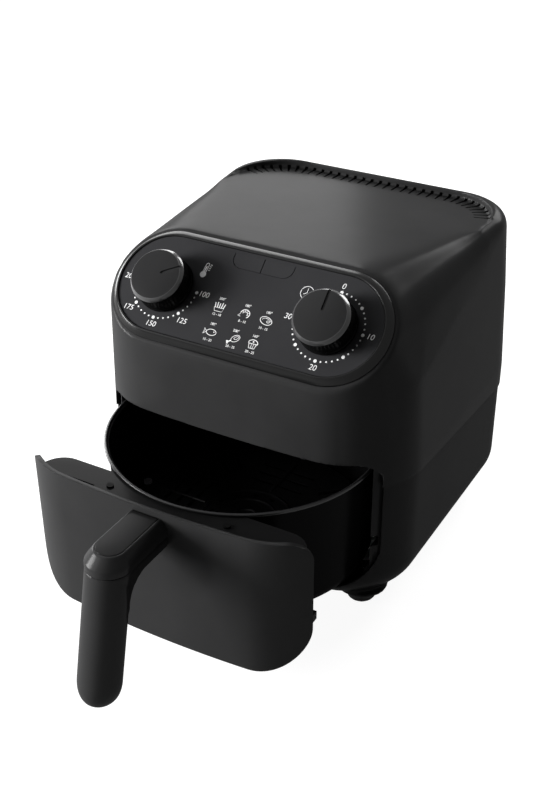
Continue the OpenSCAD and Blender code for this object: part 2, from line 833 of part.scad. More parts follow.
indicator_u0 = -21;
indicator_u1 = 23.8;
indicator_v0 = 23;
indicator_v1 = 33;
indicator_r = 7;
indicator_mid = (indicator_u0 + indicator_u1) / 2;
indicator_gap = 0.5;
fascia_t = 2;
skirt_h = 6;
ledge_w = 2.5;
panel_plate_t = 2;
body_h0 = -skirt_h - panel_plate_t;

// Outline of the pair of indicator lenses
module indicator_shape(grow) {
    for (u = [indicator_u0 + indicator_r, indicator_u1 - indicator_r])
        translate([u, indicator_v0 + indicator_r]) circle(indicator_r + grow);
    translate([indicator_u0 + indicator_r, indicator_v0 - grow])
        square([indicator_u1 - indicator_u0 - 2 * indicator_r, indicator_v1 - indicator_v0 + 2 * grow]);
    translate([indicator_u0 - grow, indicator_v0 + indicator_r])
        square([indicator_u1 - indicator_u0 + 2 * grow, indicator_v1 - indicator_v0 - indicator_r + grow]);
}

module indicator_clip() {
    intersection() {
        indicator_shape(0);
        translate([indicator_u0 - 5, indicator_v0 - 5]) square([60, indicator_v1 - indicator_v0 + 5]);
    }
}

// Sweeps a profile round the edge of the fascia. X runs outward, Y out of the panel.
module fascia_sweep() {
    straight = fascia_half_l - fascia_half_h;
    on_panel() translate([0, fascia_v, 0]) {
        translate([straight, 0, 0]) rotate([0, 0, -90]) rotate_extrude(angle = 180)
            translate([fascia_half_h, 0]) children();
        translate([-straight, 0, 0]) rotate([0, 0, 90]) rotate_extrude(angle = 180)
            translate([fascia_half_h, 0]) children();
        translate([straight, 0, 0]) rotate([90, 0, -90]) linear_extrude(2 * straight)
            mirror([1, 0]) translate([fascia_half_h, 0]) children();
        translate([-straight, 0, 0]) rotate([90, 0, 90]) linear_extrude(2 * straight)
            translate([fascia_half_h, 0]) children();
    }
}

module panel_bezel() {
    w = bezel_w;
    color([0.05, 0.05, 0.055]) difference() {
        fascia_sweep() polygon([
            [-ledge_w, -skirt_h], [-ledge_w, -fascia_t], [0.2, -fascia_t], [0.2, 0.5], [0.7, 0.9],
            [1.6, 0.9], [w, -bezel_drop + 0.8], [w, -bezel_drop], [w - 1.6, -bezel_drop], [w - 1.6, -skirt_h]
        ]);
        on_panel() for (s = [-1, 1]) translate([s * panel_screw_u, fascia_v, -skirt_h - 1])
            cylinder(r = screw_r, h = 2);
    }
}

module control_fascia() {
    color([0.12, 0.12, 0.125]) on_panel() translate([0, 0, -fascia_t]) linear_extrude(fascia_t) difference() {
        translate([0, fascia_v]) stadium(fascia_half_l, fascia_half_h);
        for (s = [-1, 1]) translate([s * knob_offset, 0]) circle(spindle_r + fit_gap);
        indicator_clip();
    }
}

module indicator_lens(u0, u1) {
    color([0.1, 0.03, 0.03]) on_panel() translate([0, 0, -fascia_t]) linear_extrude(fascia_t - 0.1)
        intersection() {
            indicator_clip();
            translate([u0, 0]) square([u1 - u0, 60]);
        }
}

module indicator_lens_left() {
    indicator_lens(indicator_u0, indicator_mid - indicator_gap);
}

module indicator_lens_right() {
    indicator_lens(indicator_mid + indicator_gap, indicator_u1);
}

module panel_bracket() {
    color([0.6, 0.6, 0.62]) on_panel() translate([0, 0, body_h0]) linear_extrude(panel_plate_t) difference() {
        translate([0, fascia_v]) stadium(fascia_half_l - ledge_w + 4, fascia_half_h - ledge_w + 4);
        for (s = [-1, 1]) translate([s * knob_offset, 0]) circle(spindle_r + fit_gap);
        translate([indicator_u0, indicator_v0 - 6]) square([indicator_u1 - indicator_u0, 12]);
        for (s = [-1, 1]) translate([s * panel_screw_u, fascia_v]) circle(screw_r + bore_gap);
    }
}

panel_screw_u = fascia_half_l + 1;

module panel_screws() {
    color([0.65, 0.65, 0.66]) on_panel() for (s = [-1, 1]) translate([s * panel_screw_u, fascia_v, 0]) {
        translate([0, 0, body_h0 - 2]) cylinder(r = screw_head_r, h = 2);
        translate([0, 0, body_h0 - 1]) cylinder(r = screw_r, h = panel_plate_t + 1.5);
    }
}

board_h = -14;

module indicator_board() {
    color([0.1, 0.35, 0.15]) on_panel() {
        translate([-26, indicator_v0 - 10, board_h]) cube([52, 16, 1.6]);
        for (s = [-1, 1]) translate([s * 24, indicator_v0 - 6, board_h + 1.6])
            cylinder(r = 2, h = body_h0 - board_h - 1.6);
    }
}

module indicator_lamps() {
    lamp_h = -fascia_t - board_h - 1.6 - 1;
    color([0.8, 0.5, 0.4]) on_panel() for (s = [-1, 1])
        translate([indicator_mid + s * 10, indicator_v0 + 1, board_h + 1.6]) cylinder(r = 2.4, h = lamp_h);
}

control_half = 19;
control_depth = 20;

module control_body(s, depth) {
    on_panel() translate([s * knob_offset, 0, body_h0]) difference() {
        translate([-control_half, -control_half, -depth]) cube([2 * control_half, 2 * control_half, depth]);
        translate([0, 0, -spindle_seat]) cylinder(r = spindle_r + bore_gap, h = 40);
    }
}

spindle_seat = 12;

module thermostat_body() {
    color([0.8, 0.78, 0.72]) control_body(-1, control_depth);
}

module timer_body() {
    color([0.7, 0.7, 0.72]) control_body(1, control_depth + 6);
}

module timer_bell() {
    color([0.8, 0.8, 0.82]) on_panel() translate([knob_offset, 0, body_h0 - control_depth - 6])
        mirror([0, 0, 1]) rotate_extrude() polygon([
            [0, 0], [2.5, 0], [2.5, 4], [14, 6.5], [17, 10], [17, 11], [13.4, 7.4], [2, 5.4], [0, 5.4]
        ]);
}

module sensor_bulb() {
    color([0.72, 0.45, 0.25]) {
        translate([-78, 40, plate_z + plate_t + 2]) rotate([90, 0, 0]) cylinder(r = 2, h = 50);
        for (y = [-6, 34]) translate([-81, y - 1.5, plate_z + plate_t]) difference() {
            cube([6, 3, 4.4]);
            translate([3, -1, 2]) rotate([-90, 0, 0]) cylinder(r = 2, h = 5);
        }
    }
}

module control_spindle(s) {
    on_panel() translate([s * knob_offset, 0, body_h0 - spindle_seat + 0.5])
        cylinder(r = spindle_r, h = spindle_seat - 0.5 - body_h0 + 11);
}

module thermostat_spindle() {
    color([0.7, 0.7, 0.72]) control_spindle(-1);
}

module timer_spindle() {
    color([0.7, 0.7, 0.72]) control_spindle(1);
}

knob_lift = 0.6;
knob_edge = 1.4;
pointer_w = 2.2;
pointer_start = 5;

// A knob at rest: its groove points up the panel when turn is zero
module knob(s, turn) {
    color([0.1, 0.1, 0.105]) on_panel() translate([s * knob_offset, 0, 0]) rotate([0, 0, -turn])
    difference() {
        rotate_extrude() polygon([
            [0, knob_lift], [knob_r + 0.9, knob_lift], [knob_r + 0.9, knob_lift + 2.4],
            [knob_r + 0.3, knob_lift + 3], [knob_r, knob_h - knob_edge],
            [knob_r - knob_edge, knob_h], [0, knob_h]
        ]);
        translate([0, 0, -1]) cylinder(r = spindle_r, h = 12.2);
        translate([0, 0, -1]) difference() {
            cylinder(r = knob_r - 2.4, h = 11.2);
            translate([0, 0, -1]) cylinder(r = spindle_r + 3, h = 20);
        }
        translate([-pointer_w / 2, pointer_start, knob_h - 0.8]) cube([pointer_w, knob_r, 2]);
    }
}

temperature_rest = 60;

module temperature_knob() {
    knob(-1, temperature_rest);
}

module timer_knob() {
    knob(1, 0);
}

// ---------- interlock and wiring ----------

plunger_x = 100;
plunger_z = 60;
plunger_r = 1.4;
plunger_tip_y = -89;
plunger_stroke = 3;
switch_y0 = landing_y + landing_t + 0.3;
switch_len = 17;
switch_w = 11;

module interlock_switch() {
    color([0.15, 0.15, 0.16]) difference() {
        translate([mouth_half_w + sleeve_t + 0.3, switch_y0, plunger_z - 8]) cube([switch_w, switch_len, 16]);
        translate([plunger_x, switch_y0 - 1, plunger_z]) rotate([-90, 0, 0])
            cylinder(r = plunger_r + bore_gap, h = switch_len - 2);
    }
}

module interlock_plunger() {
    back_y = switch_y0 + switch_len - 3 - plunger_stroke - fit_gap;
    color([0.1, 0.1, 0.1]) translate([plunger_x, plunger_tip_y, plunger_z]) rotate([-90, 0, 0])
        cylinder(r = plunger_r, h = back_y - plunger_tip_y);
}

module thermal_fuse() {
    color([0.8, 0.75, 0.6]) translate([50, 36, plate_z + plate_t]) {
        translate([0, 0, 2.5]) rotate([0, 90, 0]) cylinder(r = 2.5, h = 12);
        for (x = [-3, 11]) translate([x, -2, 0]) cube([4, 4, 3.5]);
    }
}

module terminal_block() {
    color([0.85, 0.85, 0.82]) translate([-78, 48, plate_z + plate_t]) difference() {
        cube([40, 12, 9]);
        for (i = [0:3]) translate([6 + i * 9.3, 6, 3]) cylinder(r = 2, h = 10);
    }
}

// ---------- drawer, drawn shut and then pulled out ----------

module on_drawer() {
    translate([0, -drawer_out, 0]) children();
}

handle_screw_x = 9;
handle_screw_z = 104;

module handle_screw_bore() {
    for (s = [-1, 1]) translate([s * handle_screw_x, 0, handle_screw_z]) rotate([90, 0, 0])
        cylinder(r = screw_r + bore_gap, h = body_front + 18);
}

module drawer_front() {
    color([0.07, 0.07, 0.075]) on_drawer() difference() {
        intersection() {
            front_sweep(60) translate([0, opening_bottom_z - 2])
                square([front_t, opening_top_z - opening_bottom_z + 4]);
            along_y(-far, 0) opening_shape(-drawer_gap);
        }
        handle_screw_bore();
    }
}

bracket_half_w = opening_half_w - frame_wall - 3.3;
bracket_back_y = -83.5;
bracket_r = 16;
bracket_gap = 0.05;
ridge_y = -105.5;
bracket_wall_t = 2.2;
bracket_wall_z0 = 32;
groove_r = 11;
groove_inset = 14.5;
// Slots for the latches of the drawer front
latch_x = 65;
latch_y = -102.6;
latch_len = 24;
latch_w = 1.5;
bracket_screw_x = 43.4;
bracket_screw_y = -98.1;
pan_seat_r = pan_r + 0.6;
finger_gap = 0.3;

// Plan of the bracket: the rear edge clears the pan, and the front meets the drawer front
module bracket_plan(inset) {
    difference() {
        intersection() {
            plan_exact(front_t + bracket_gap);
            union() {
                for (s = [-1, 1]) translate([s * (bracket_half_w - bracket_r), bracket_back_y - bracket_r])
                    circle(bracket_r - inset);
                translate([-bracket_half_w + inset, -body_front])
                    square([2 * (bracket_half_w - inset), body_front + bracket_back_y - bracket_r]);
                translate([-bracket_half_w + bracket_r, -body_front])
                    square([2 * (bracket_half_w - bracket_r), body_front + bracket_back_y - inset]);
            }
        }
        translate([0, pan_y]) circle(pan_seat_r + inset);
    }
}

module drawer_bracket() {
    top_t = 2.4;
    ramp_lap = 1.2;
    ramp_wrap = 55;
    ramp_front = front_t + 2 * bracket_gap;
    wall_h = bracket_z - bracket_wall_z0 - 1;
    color([0.065, 0.065, 0.07]) on_drawer() difference() {
        union() {
            intersection() {
                union() {
                    translate([0, 0, bracket_z - top_t]) linear_extrude(top_t) bracket_plan(0);
                    translate([0, 0, bracket_wall_z0]) linear_extrude(wall_h) difference() {
                        bracket_plan(0);
                        bracket_plan(bracket_wall_t);
                    }
                }
                along_y(-far, 0) opening_shape(-fit_gap * 2 - frame_wall);
            }
            intersection() {
                front_sweep(ramp_wrap) polygon(concat(
                    [[ramp_front, bracket_z - ramp_lap], [groove_inset, bracket_z - ramp_lap]],
                    arc(groove_inset, bracket_z + groove_r, groove_r, -90, -172, 7),
                    [[ramp_front, bracket_z + groove_r - 1.1]]
                ));
                translate([-bracket_half_w + 3, -far, 0])
                    cube([2 * (bracket_half_w - 3), far + ridge_y, far]);
            }
            translate([plunger_x - 5, -96, plunger_z - 3])
                cube([6.3, 96 + plunger_tip_y - finger_gap, 6]);
        }
        for (s = [-1, 1]) translate([s * bracket_screw_x, bracket_screw_y, bracket_z - 5])
            cylinder(r = screw_r + bore_gap, h = 10);
        for (s = [-1, 1]) translate([s * latch_x - latch_len / 2, latch_y, bracket_z - 5])
            cube([latch_len, latch_w, 10]);
        translate([plunger_x, plunger_tip_y - finger_gap + 0.1, plunger_z]) rotate([-90, 0, 0])
            cylinder(r = plunger_r + run_gap, h = 10);
    }
}

module bracket_screws() {
    color([0.06, 0.06, 0.06]) on_drawer() for (s = [-1, 1])
        translate([s * bracket_screw_x, bracket_screw_y, bracket_z]) {
            cylinder(r = 2.4, h = 1.2);
            translate([0, 0, -8]) cylinder(r = screw_r, h = 8.5);
        }
}

pan_low_r = pan_r - 3.5;
pan_edge_z = pan_bottom_z + pan_edge_r;
bead_z = pan_top_z - pan_bead_r;

module pan() {
    inner = pan_edge_r - pan_t;
    color([0.12, 0.12, 0.125]) on_drawer() on_axis() rotate_extrude() {
        polygon(concat(
            [[0, pan_bottom_z]],
            arc(pan_low_r - pan_edge_r, pan_edge_z, pan_edge_r, -90, 0, 8),
            [[pan_r, bead_z - 1], [pan_r + 0.4, bead_z + 0.6], [pan_r - pan_t, bead_z + 0.8]],
            arc(pan_low_r - pan_edge_r, pan_edge_z, inner, 0, -90, 8),
            [[0, pan_bottom_z + pan_t]]
        ));
        translate([pan_r + pan_bead_r, bead_z]) circle(pan_bead_r, $fn = 32);
    }
}

// Outer radius of the pan wall at a height
function pan_wall_r(z) = pan_low_r + (pan_r - pan_low_r) * (z - pan_edge_z) / (bead_z - 1 - pan_edge_z);

strap_z0 = 42;
strap_z1 = 54;

module pan_strap() {
    color([0.55, 0.55, 0.56]) on_drawer() on_axis() rotate([0, 0, -115]) rotate_extrude(angle = 50) polygon([
        [pan_wall_r(strap_z0) + bore_gap, strap_z0], [pan_seat_r - bore_gap, strap_z0],
        [pan_seat_r - bore_gap, strap_z1], [pan_wall_r(strap_z1) + bore_gap, strap_z1]
    ]);
}

// ---------- handle ----------

handle_half = handle_w / 2;
handle_tip_y = -body_front - handle_reach;
handle_seam_z = 107.5;
handle_seam = 0.2;
arch_r = 20;
cap_half = 9.2;
cap_tip_y = handle_tip_y + 8.2;
cap_t = 1.2;

// Plan of the arm, from the drawer front to its rounded tip
module arm_plan(half, tip_y, root_y) {
    translate([0, tip_y + half]) circle(half, $fn = 64);
    translate([-half, tip_y + half]) square([2 * half, root_y - tip_y - half]);
}

module handle_arm() {
    color([0.08, 0.08, 0.085]) on_drawer() difference() {
        hull() {
            translate([0, 0, handle_seam_z + handle_seam]) linear_extrude(4.5)
                arm_plan(handle_half, handle_tip_y, -body_front);
            translate([0, 0, handle_top_z - 0.6]) linear_extrude(0.6)
                arm_plan(cap_half + 1.6, cap_tip_y - 1.6, -body_front);
        }
        translate([0, 0, handle_top_z - cap_t + 0.3]) linear_extrude(5)
            arm_plan(cap_half + 0.2, cap_tip_y - 0.2, -body_front - 0.8);
    }
}

module handle_cap() {
    color([0.03, 0.03, 0.035]) on_drawer() translate([0, 0, handle_top_z - cap_t + 0.3]) linear_extrude(cap_t)
        arm_plan(cap_half, cap_tip_y, -body_front - 1);
}

// One level of the grip, moved forward by its lean and shrunk by inset
module grip_level(z, inset, h) {
    shift = (handle_seam_z - z) * tan(grip_lean);
    back_r = 4;
    translate([0, handle_tip_y - shift, z]) linear_extrude(h) hull() {
        intersection() {
            translate([0, handle_half]) circle(handle_half - inset, $fn = 64);
            translate([-handle_half, 0]) square([handle_w, handle_half]);
        }
        for (s = [-1, 1]) translate([s * (handle_half - back_r - inset), grip_t - back_r - inset])
            circle(back_r, $fn = 24);
    }
}

module handle_grip() {
    low = grip_bottom_z;
    arm_back_y = handle_tip_y + grip_t;
    arch_z = handle_under_z - arch_r;
    arch_y = arm_back_y - (handle_seam_z - arch_z) * tan(grip_lean) + arch_r;
    color([0.085, 0.085, 0.09]) on_drawer() difference() {
        union() {
            hull() {
                grip_level(handle_seam_z - handle_seam - 1, 0, 1);
                grip_level(low + 18, 0, 1);
                grip_level(low + 10, 1.4, 1);
                grip_level(low + 4, 4.2, 1);
                grip_level(low + 1, 7, 1);
                grip_level(low, 9.5, 1);
            }
            translate([-handle_half, arm_back_y - 4, handle_under_z])
                cube([handle_w, -body_front - arm_back_y + 4, handle_seam_z - handle_seam - handle_under_z]);
            translate([-handle_half, arm_back_y - 8, arch_z])
                cube([handle_w, arch_y - arm_back_y + 8, arch_r + 0.5]);
        }
        translate([-far / 2, arch_y, arch_z]) rotate([0, 90, 0]) cylinder(r = arch_r, h = far);
        handle_screw_bore();
    }
}

module handle_screws() {
    color([0.6, 0.6, 0.62]) on_drawer() for (s = [-1, 1])
        translate([s * handle_screw_x, -body_front + front_t + 0.1, handle_screw_z]) rotate([90, 0, 0]) {
            translate([0, 0, -2]) cylinder(r = screw_head_r, h = 2);
            cylinder(r = screw_r, h = front_t + 16);
        }
}

// ---------- crisper ----------

crisper_t = 1.2;
bumper_r = 3;
bumper_z0 = 38;
leg_r = 2.5;
leg_at = 48;
leg_z0 = pan_bottom_z + pan_t + run_gap;
bumper_at = pan_wall_r(bumper_z0) - pan_t - crisper_gap - bumper_r;
crisper_r = bumper_at + bumper_r - 0.6;

// Raised rings and ribs on the plate, and the slots between them
ring_r = [8, 20.5, 31];
rib_w = 3;
rib_edge = 14.8;
slot_w = 2.8;
slot_len = 19;
slot_pitch = 10;
slot_edge = 24.3;
corner_slot_len = 18;
corner_slot_edge = 12.8;

module slot_row(v, half_len) {
    for (s = [-1, 1]) translate([s * (half_len / 2 + 2) - half_len / 2, v - slot_w / 2, 0])
        cube([half_len, slot_w, 10]);
}

module crisper_slots() {
    rows = [for (i = [0:2]) crisper_r - slot_edge - i * slot_pitch];
    for (v = rows) for (s = [-1, 1]) slot_row(s * v, slot_len);
    for (x = rows) for (s = [-1, 1]) for (v = [-18, -6, 6, 18])
        translate([s * x - slot_w / 2, v - 4.6, 0]) cube([slot_w, 9.2, 10]);
    for (a = [45:90:315]) for (d = [-11, 0, 11]) rotate([0, 0, a])
        translate([crisper_r - corner_slot_edge - corner_slot_len, d - slot_w / 2, 0])
            cube([corner_slot_len, slot_w, 10]);
    for (a = [0:30:330]) rotate([0, 0, a + 15]) translate([(ring_r[1] + ring_r[2]) / 2, 0, 0])
        cylinder(r = 1.8, h = 10, $fn = 32);
}

module crisper_plate() {
    color([0.13, 0.13, 0.135]) on_drawer() on_axis() difference() {
        union() {
            translate([0, 0, crisper_z - crisper_t]) cylinder(r = crisper_r, h = crisper_t);
            for (r = ring_r) translate([0, 0, crisper_z]) rotate_extrude()
                translate([r, 0]) circle(0.9, $fn = 32);
            for (a = [0:90:270]) rotate([0, 0, a]) translate([ring_r[2] + 3, -rib_w / 2, crisper_z - 0.2])
                cube([crisper_r - rib_edge - ring_r[2] - 3, rib_w, 1.2]);
            for (a = [45:90:315]) rotate([0, 0, a]) translate([leg_at, 0, leg_z0])
                cylinder(r = leg_r, h = crisper_z - crisper_t - leg_z0 + 0.5);
            difference() {
                translate([0, 0, crisper_z - 5]) cylinder(r = crisper_r, h = 5);
                translate([0, 0, crisper_z - 6]) cylinder(r = crisper_r - crisper_t, h = 10);
            }
        }
        translate([0, 0, crisper_z - 5]) crisper_slots();
        for (a = [45:90:315]) rotate([0, 0, a + 45]) translate([bumper_at, 0, 0])
            cylinder(r = bumper_r, h = far);
    }
}

module crisper_bumpers() {
    color([0.5, 0.5, 0.5]) on_drawer() on_axis() for (a = [0:90:270]) rotate([0, 0, a])
        translate([bumper_at, 0, bumper_z0]) cylinder(r = bumper_r, h = crisper_z + 1.5 - bumper_z0);
}

upper_shell();
lower_housing();
foot_pads();
cavity_floor();
pan_runners();
floor_screws();
front_frame();
chamber_liner();
exhaust_duct();
rear_grille();
cord_gland();
reflector_dome();
element_guard();
heating_element();
element_clips();
insulation_disc();
motor_plate();
plate_posts();
motor_lower_bracket();
motor_upper_bracket();
motor_stator();
motor_coil();
motor_bushes();
motor_bolts();
panel_bezel();
control_fascia();
indicator_lens_left();
indicator_lens_right();
indicator_board();
indicator_lamps();
panel_bracket();
panel_screws();
thermostat_body();
sensor_bulb();
timer_body();
timer_bell();
interlock_switch();
thermal_fuse();
terminal_block();
interlock_plunger();
temperature_knob();
thermostat_spindle();
timer_knob();
timer_spindle();
rotor_shaft();
rotor_core();
cooling_fan();
hot_air_fan();
fan_nut();
drawer_front();
drawer_bracket();
bracket_screws();
pan();
pan_strap();
handle_arm();
handle_grip();
handle_cap();
handle_screws();
crisper_plate();
crisper_bumpers();
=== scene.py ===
import json
from math import acos, atan, atan2, cos, degrees, pi, radians, sin, sqrt, tan

import bmesh
import bpy
from mathutils import Matrix, Vector


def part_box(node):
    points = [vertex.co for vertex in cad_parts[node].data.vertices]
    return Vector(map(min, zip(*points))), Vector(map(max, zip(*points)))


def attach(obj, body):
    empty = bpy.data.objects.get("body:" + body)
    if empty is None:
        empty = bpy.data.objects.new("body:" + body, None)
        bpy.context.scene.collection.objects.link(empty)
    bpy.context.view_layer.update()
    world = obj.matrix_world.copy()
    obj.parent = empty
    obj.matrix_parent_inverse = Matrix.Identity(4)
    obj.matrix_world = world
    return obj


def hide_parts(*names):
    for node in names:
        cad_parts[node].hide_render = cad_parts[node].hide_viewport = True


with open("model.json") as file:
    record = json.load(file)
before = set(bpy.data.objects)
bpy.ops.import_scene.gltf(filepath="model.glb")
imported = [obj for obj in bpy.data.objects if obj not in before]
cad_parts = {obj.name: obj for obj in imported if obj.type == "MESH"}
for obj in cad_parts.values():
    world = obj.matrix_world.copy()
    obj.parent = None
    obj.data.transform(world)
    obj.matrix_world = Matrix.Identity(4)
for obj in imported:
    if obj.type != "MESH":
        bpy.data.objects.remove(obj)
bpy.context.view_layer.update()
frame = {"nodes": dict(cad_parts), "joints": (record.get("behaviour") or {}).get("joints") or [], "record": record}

# Lengths below are in millimetres; meshes are scaled to metres as they are made.
MM = 0.001


def node_box(node):
    low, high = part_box(node)
    return low / MM, high / MM


def offset(x, y, z):
    return Matrix.Translation((x, y, z))


def rotation(angle, axis="Z"):
    return Matrix.Rotation(angle, 4, axis)


# ---------- sizes, taken from the frame where a node gives them ----------

shell_low, shell_high = node_box("upper_shell")
HALF_W = shell_high.x
BACK = shell_high.y
FRONT = -shell_low.y
OUT = -FRONT - node_box("drawer_front")[0].y    # how far the drawer stands out at rest
PAN_R, PAN_Y = 92.5, -3.0
SHIFT = {"drawer": (0, -OUT, 0), "crisper": (0, PAN_Y - OUT, 0)}    # their pieces are drawn shut

# Plan: a bowed front, then tighter corners
BOW_R, FRONT_R, REAR_R = 830, 55, 50
CORNER_X = HALF_W - FRONT_R
BOW_Y = BOW_R - FRONT
CORNER_Y = BOW_Y - sqrt((BOW_R - FRONT_R) ** 2 - CORNER_X ** 2)
BOW_ANGLE = degrees(atan2(CORNER_X, BOW_Y - CORNER_Y))

# Heights of the housing; the seam falls towards the back by SEAM_FALL for each mm
WALL = 2.5
SEAM_Z, SEAM_FALL, SEAM_GAP = 97.3, 0.0755, 0.6
RIM_Z, VENT_FLOOR_Z = 227.0, 221.0
GROUND_GAP = 10.0

# Control panel: its own axes are along the panel, up it, and out of it, from midway between the knobs
turns = {j["name"]: j for j in frame["joints"]}
axis = Vector(turns["timer_turn"]["axis"])
TILT = atan2(axis.y, -axis.z)
knob_centre = Vector(turns["timer_turn"]["pos_m"]) / MM
KNOB_U = knob_centre.x
PANEL = offset(0, knob_centre.y, knob_centre.z) @ rotation(TILT, "X")
FASCIA_L, FASCIA_H, FASCIA_V = 95.5, 33.8, 1.3    # half length, half height, and its middle above the knobs
BEZEL_W, BEZEL_DROP = 5.5, 3.5
PANEL_MARGIN = 2.6


# ---------- mesh tools ----------

def arc(cx, cy, r, a0, a1, n):
    """Points along an arc, angles in degrees."""
    return [(cx + r * cos(radians(a0 + (a1 - a0) * i / n)), cy + r * sin(radians(a0 + (a1 - a0) * i / n)))
            for i in range(n + 1)]


def plan(inset):
    """Plan outline of the housing, shrunk by inset, counter-clockwise."""
    half = arc(0, BOW_Y, BOW_R - inset, -90, BOW_ANGLE - 90, 12)
    half += arc(CORNER_X, CORNER_Y, FRONT_R - inset, BOW_ANGLE - 90, 0, 24)[1:]
    half += arc(HALF_W - REAR_R, BACK - REAR_R, REAR_R - inset, 0, 90, 24)
    return half + [(-x, y) for x, y in reversed(half[1:])]


def fascia_outline(grow, n):
    """The bar with round ends that is the fascia's outline, in the panel's axes, grown on every side."""
    c, r = FASCIA_L - FASCIA_H, FASCIA_H + grow
    return arc(c, FASCIA_V, r, -90, 90, n) + arc(-c, FASCIA_V, r, 90, 270, n)


def rounded(hw, z0, z1, r0, r1, n=14):
    """Rounded rectangle with its own bottom and top corner radii, counter-clockwise."""
    return (arc(hw - r0, z0 + r0, r0, -90, 0, n) + arc(hw - r1, z1 - r1, r1, 0, 90, n)
            + arc(-hw + r1, z1 - r1, r1, 90, 180, n) + arc(-hw + r0, z0 + r0, r0, 180, 270, n))


def make(verts, faces, at=None):
    """A mesh with its doubled points merged and its faces turned outward, placed by the matrix at."""
    me = bpy.data.meshes.new("work")
    me.from_pydata([tuple(v) for v in verts], [], faces)
    if at is not None:
        me.transform(at)
    bm = bmesh.new()
    bm.from_mesh(me)
    bmesh.ops.remove_doubles(bm, verts=bm.verts, dist=1e-5)
    bmesh.ops.recalc_face_normals(bm, faces=bm.faces)
    bm.to_mesh(me)
    bm.free()
    return me


def loft(rings, at=None, closed=False):
    """Skins a row of closed rings that have the same number of points."""
    n, count = len(rings[0]), len(rings)
    verts = [p for ring in rings for p in ring]
    faces = []
    for i in range(count if closed else count - 1):
        a, b = i * n, ((i + 1) % count) * n
        faces += [(a + j, a + (j + 1) % n, b + (j + 1) % n, b + j) for j in range(n)]
    if not closed:
        faces += [tuple(range(n)), tuple(range((count - 1) * n, count * n))]
    return make(verts, faces, at)


def prism(points, z0, z1, at=None):
    return loft([[(x, y, z0) for x, y in points], [(x, y, z1) for x, y in points]], at)


def along_y(points, y0, y1):
    """Extrudes an outline of (x, z) points along Y."""
    return loft([[(x, y0, z) for x, z in points], [(x, y1, z) for x, z in points]])


def lathe(profile, n, at=None):
    """Turns a closed profile of (r, z) points about Z."""
    rings = [[(r * cos(2 * pi * i / n), r * sin(2 * pi * i / n), z) for i in range(n)] for r, z in profile]
    return loft(rings, at, closed=True)


def block(x0, x1, y0, y1, z0, z1, at=None):
    return prism([(x0, y0), (x1, y0), (x1, y1), (x0, y1)], z0, z1, at)


def cylinder(x, y, r, z0, z1, n=48, at=None):
    return prism(arc(x, y, r, 0, 360 - 360 / n, n - 1), z0, z1, at)


def hull(points):
    bm = bmesh.new()
    for p in points:
        bm.verts.new(p)
    bmesh.ops.remove_doubles(bm, verts=bm.verts, dist=1e-4)
    out = bmesh.ops.convex_hull(bm, input=bm.verts)
    loose = [v for v in out["geom_interior"] + out["geom_unused"] if isinstance(v, bmesh.types.BMVert)]
    bmesh.ops.delete(bm, geom=list(set(loose)), context="VERTS")
    me = bpy.data.meshes.new("work")
    bmesh.ops.recalc_face_normals(bm, faces=bm.faces)
    bm.to_mesh(me)
    bm.free()
    return me


def shifted(me, at):
    out = me.copy()
    out.transform(at)
    return out


def new_object(name, data):
    ob = bpy.data.objects.new(name, data)
    bpy.context.scene.collection.objects.link(ob)
    return ob


def evaluated_mesh(ob):
    """The object's mesh with its modifiers applied. The object itself is removed."""
    graph = bpy.context.evaluated_depsgraph_get()
    graph.update()
    out = bpy.data.meshes.new_from_object(ob.evaluated_get(graph))
    bpy.data.objects.remove(ob)
    return out


def modified(me, *steps, weight=None):
    """Applies modifiers, each (type, {settings}); weight(point) fills the vertex group "soft"."""
    ob = new_object("work", me)
    if weight:
        group = ob.vertex_groups.new(name="soft")
        for vertex in me.vertices:
            amount = weight(vertex.co)
            if amount > 0:
                group.add([vertex.index], amount, "REPLACE")
    for kind, settings in steps:
        mod = ob.modifiers.new("step", kind)
        for key, value in settings.items():
            setattr(mod, key, value)
    return evaluated_mesh(ob)


def boolean(me, tools, how="DIFFERENCE"):
    helpers = [new_object("tool", tool) for tool in tools]
    out = modified(me, *[("BOOLEAN", {"operation": how, "solver": "MANIFOLD", "object": ob})
                         for ob in helpers])
    for ob in helpers:
        bpy.data.objects.remove(ob)
    return out


def bevelled(me, width, segments, angle=32):
    return modified(me, ("BEVEL", {"width": width, "segments": segments, "limit_method": "ANGLE",
                                   "angle_limit": radians(angle), "harden_normals": False}))


def softened(me, voxel, rounds):
    """Remeshes a solid evenly and rounds its edges a little."""
    return modified(me, ("REMESH", {"mode": "VOXEL", "voxel_size": voxel, "adaptivity": 0.0}),
                    ("SMOOTH", {"factor": 0.5, "iterations": rounds}))


def softened_where(me, weight, rounds):
    """Rounds the creases of an even mesh where weight(point) is above nothing."""
    return modified(me, ("SMOOTH", {"factor": 0.5, "iterations": rounds, "vertex_group": "soft"}),
                    weight=weight)


def piece(name, me, body, slot, nodes=(), sharp=30, extra=None, look=None):
    """Adds a finished mesh to the object, in metres, on a CAD body, in place of the CAD nodes.

    look is its finish where that differs from the slot's. extra is (further finishes, choose), where
    choose(face centre in mm) is 0 for the main finish and counts up through the others.
    """
    me.transform(Matrix.Scale(MM, 4) @ offset(*SHIFT.get(body, (0, 0, 0))))
    me.name = name
    ob = new_object(name, me)
    me.shade_smooth()
    bm = bmesh.new()
    bm.from_mesh(me)
    for edge in bm.edges:
        edge.smooth = len(edge.link_faces) == 2 and edge.calc_face_angle(0) < radians(sharp)
    bm.to_mesh(me)
    bm.free()
    me.materials.clear()
    me.materials.append(MATERIALS[look or slot])
    if extra:
        finishes, choose = extra
        for finish in finishes:
            me.materials.append(MATERIALS[finish])
        for face in me.polygons:
            face.material_index = choose(face.center / MM)
    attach(ob, body)
    if nodes:
        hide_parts(*nodes)


# ---------- materials ----------

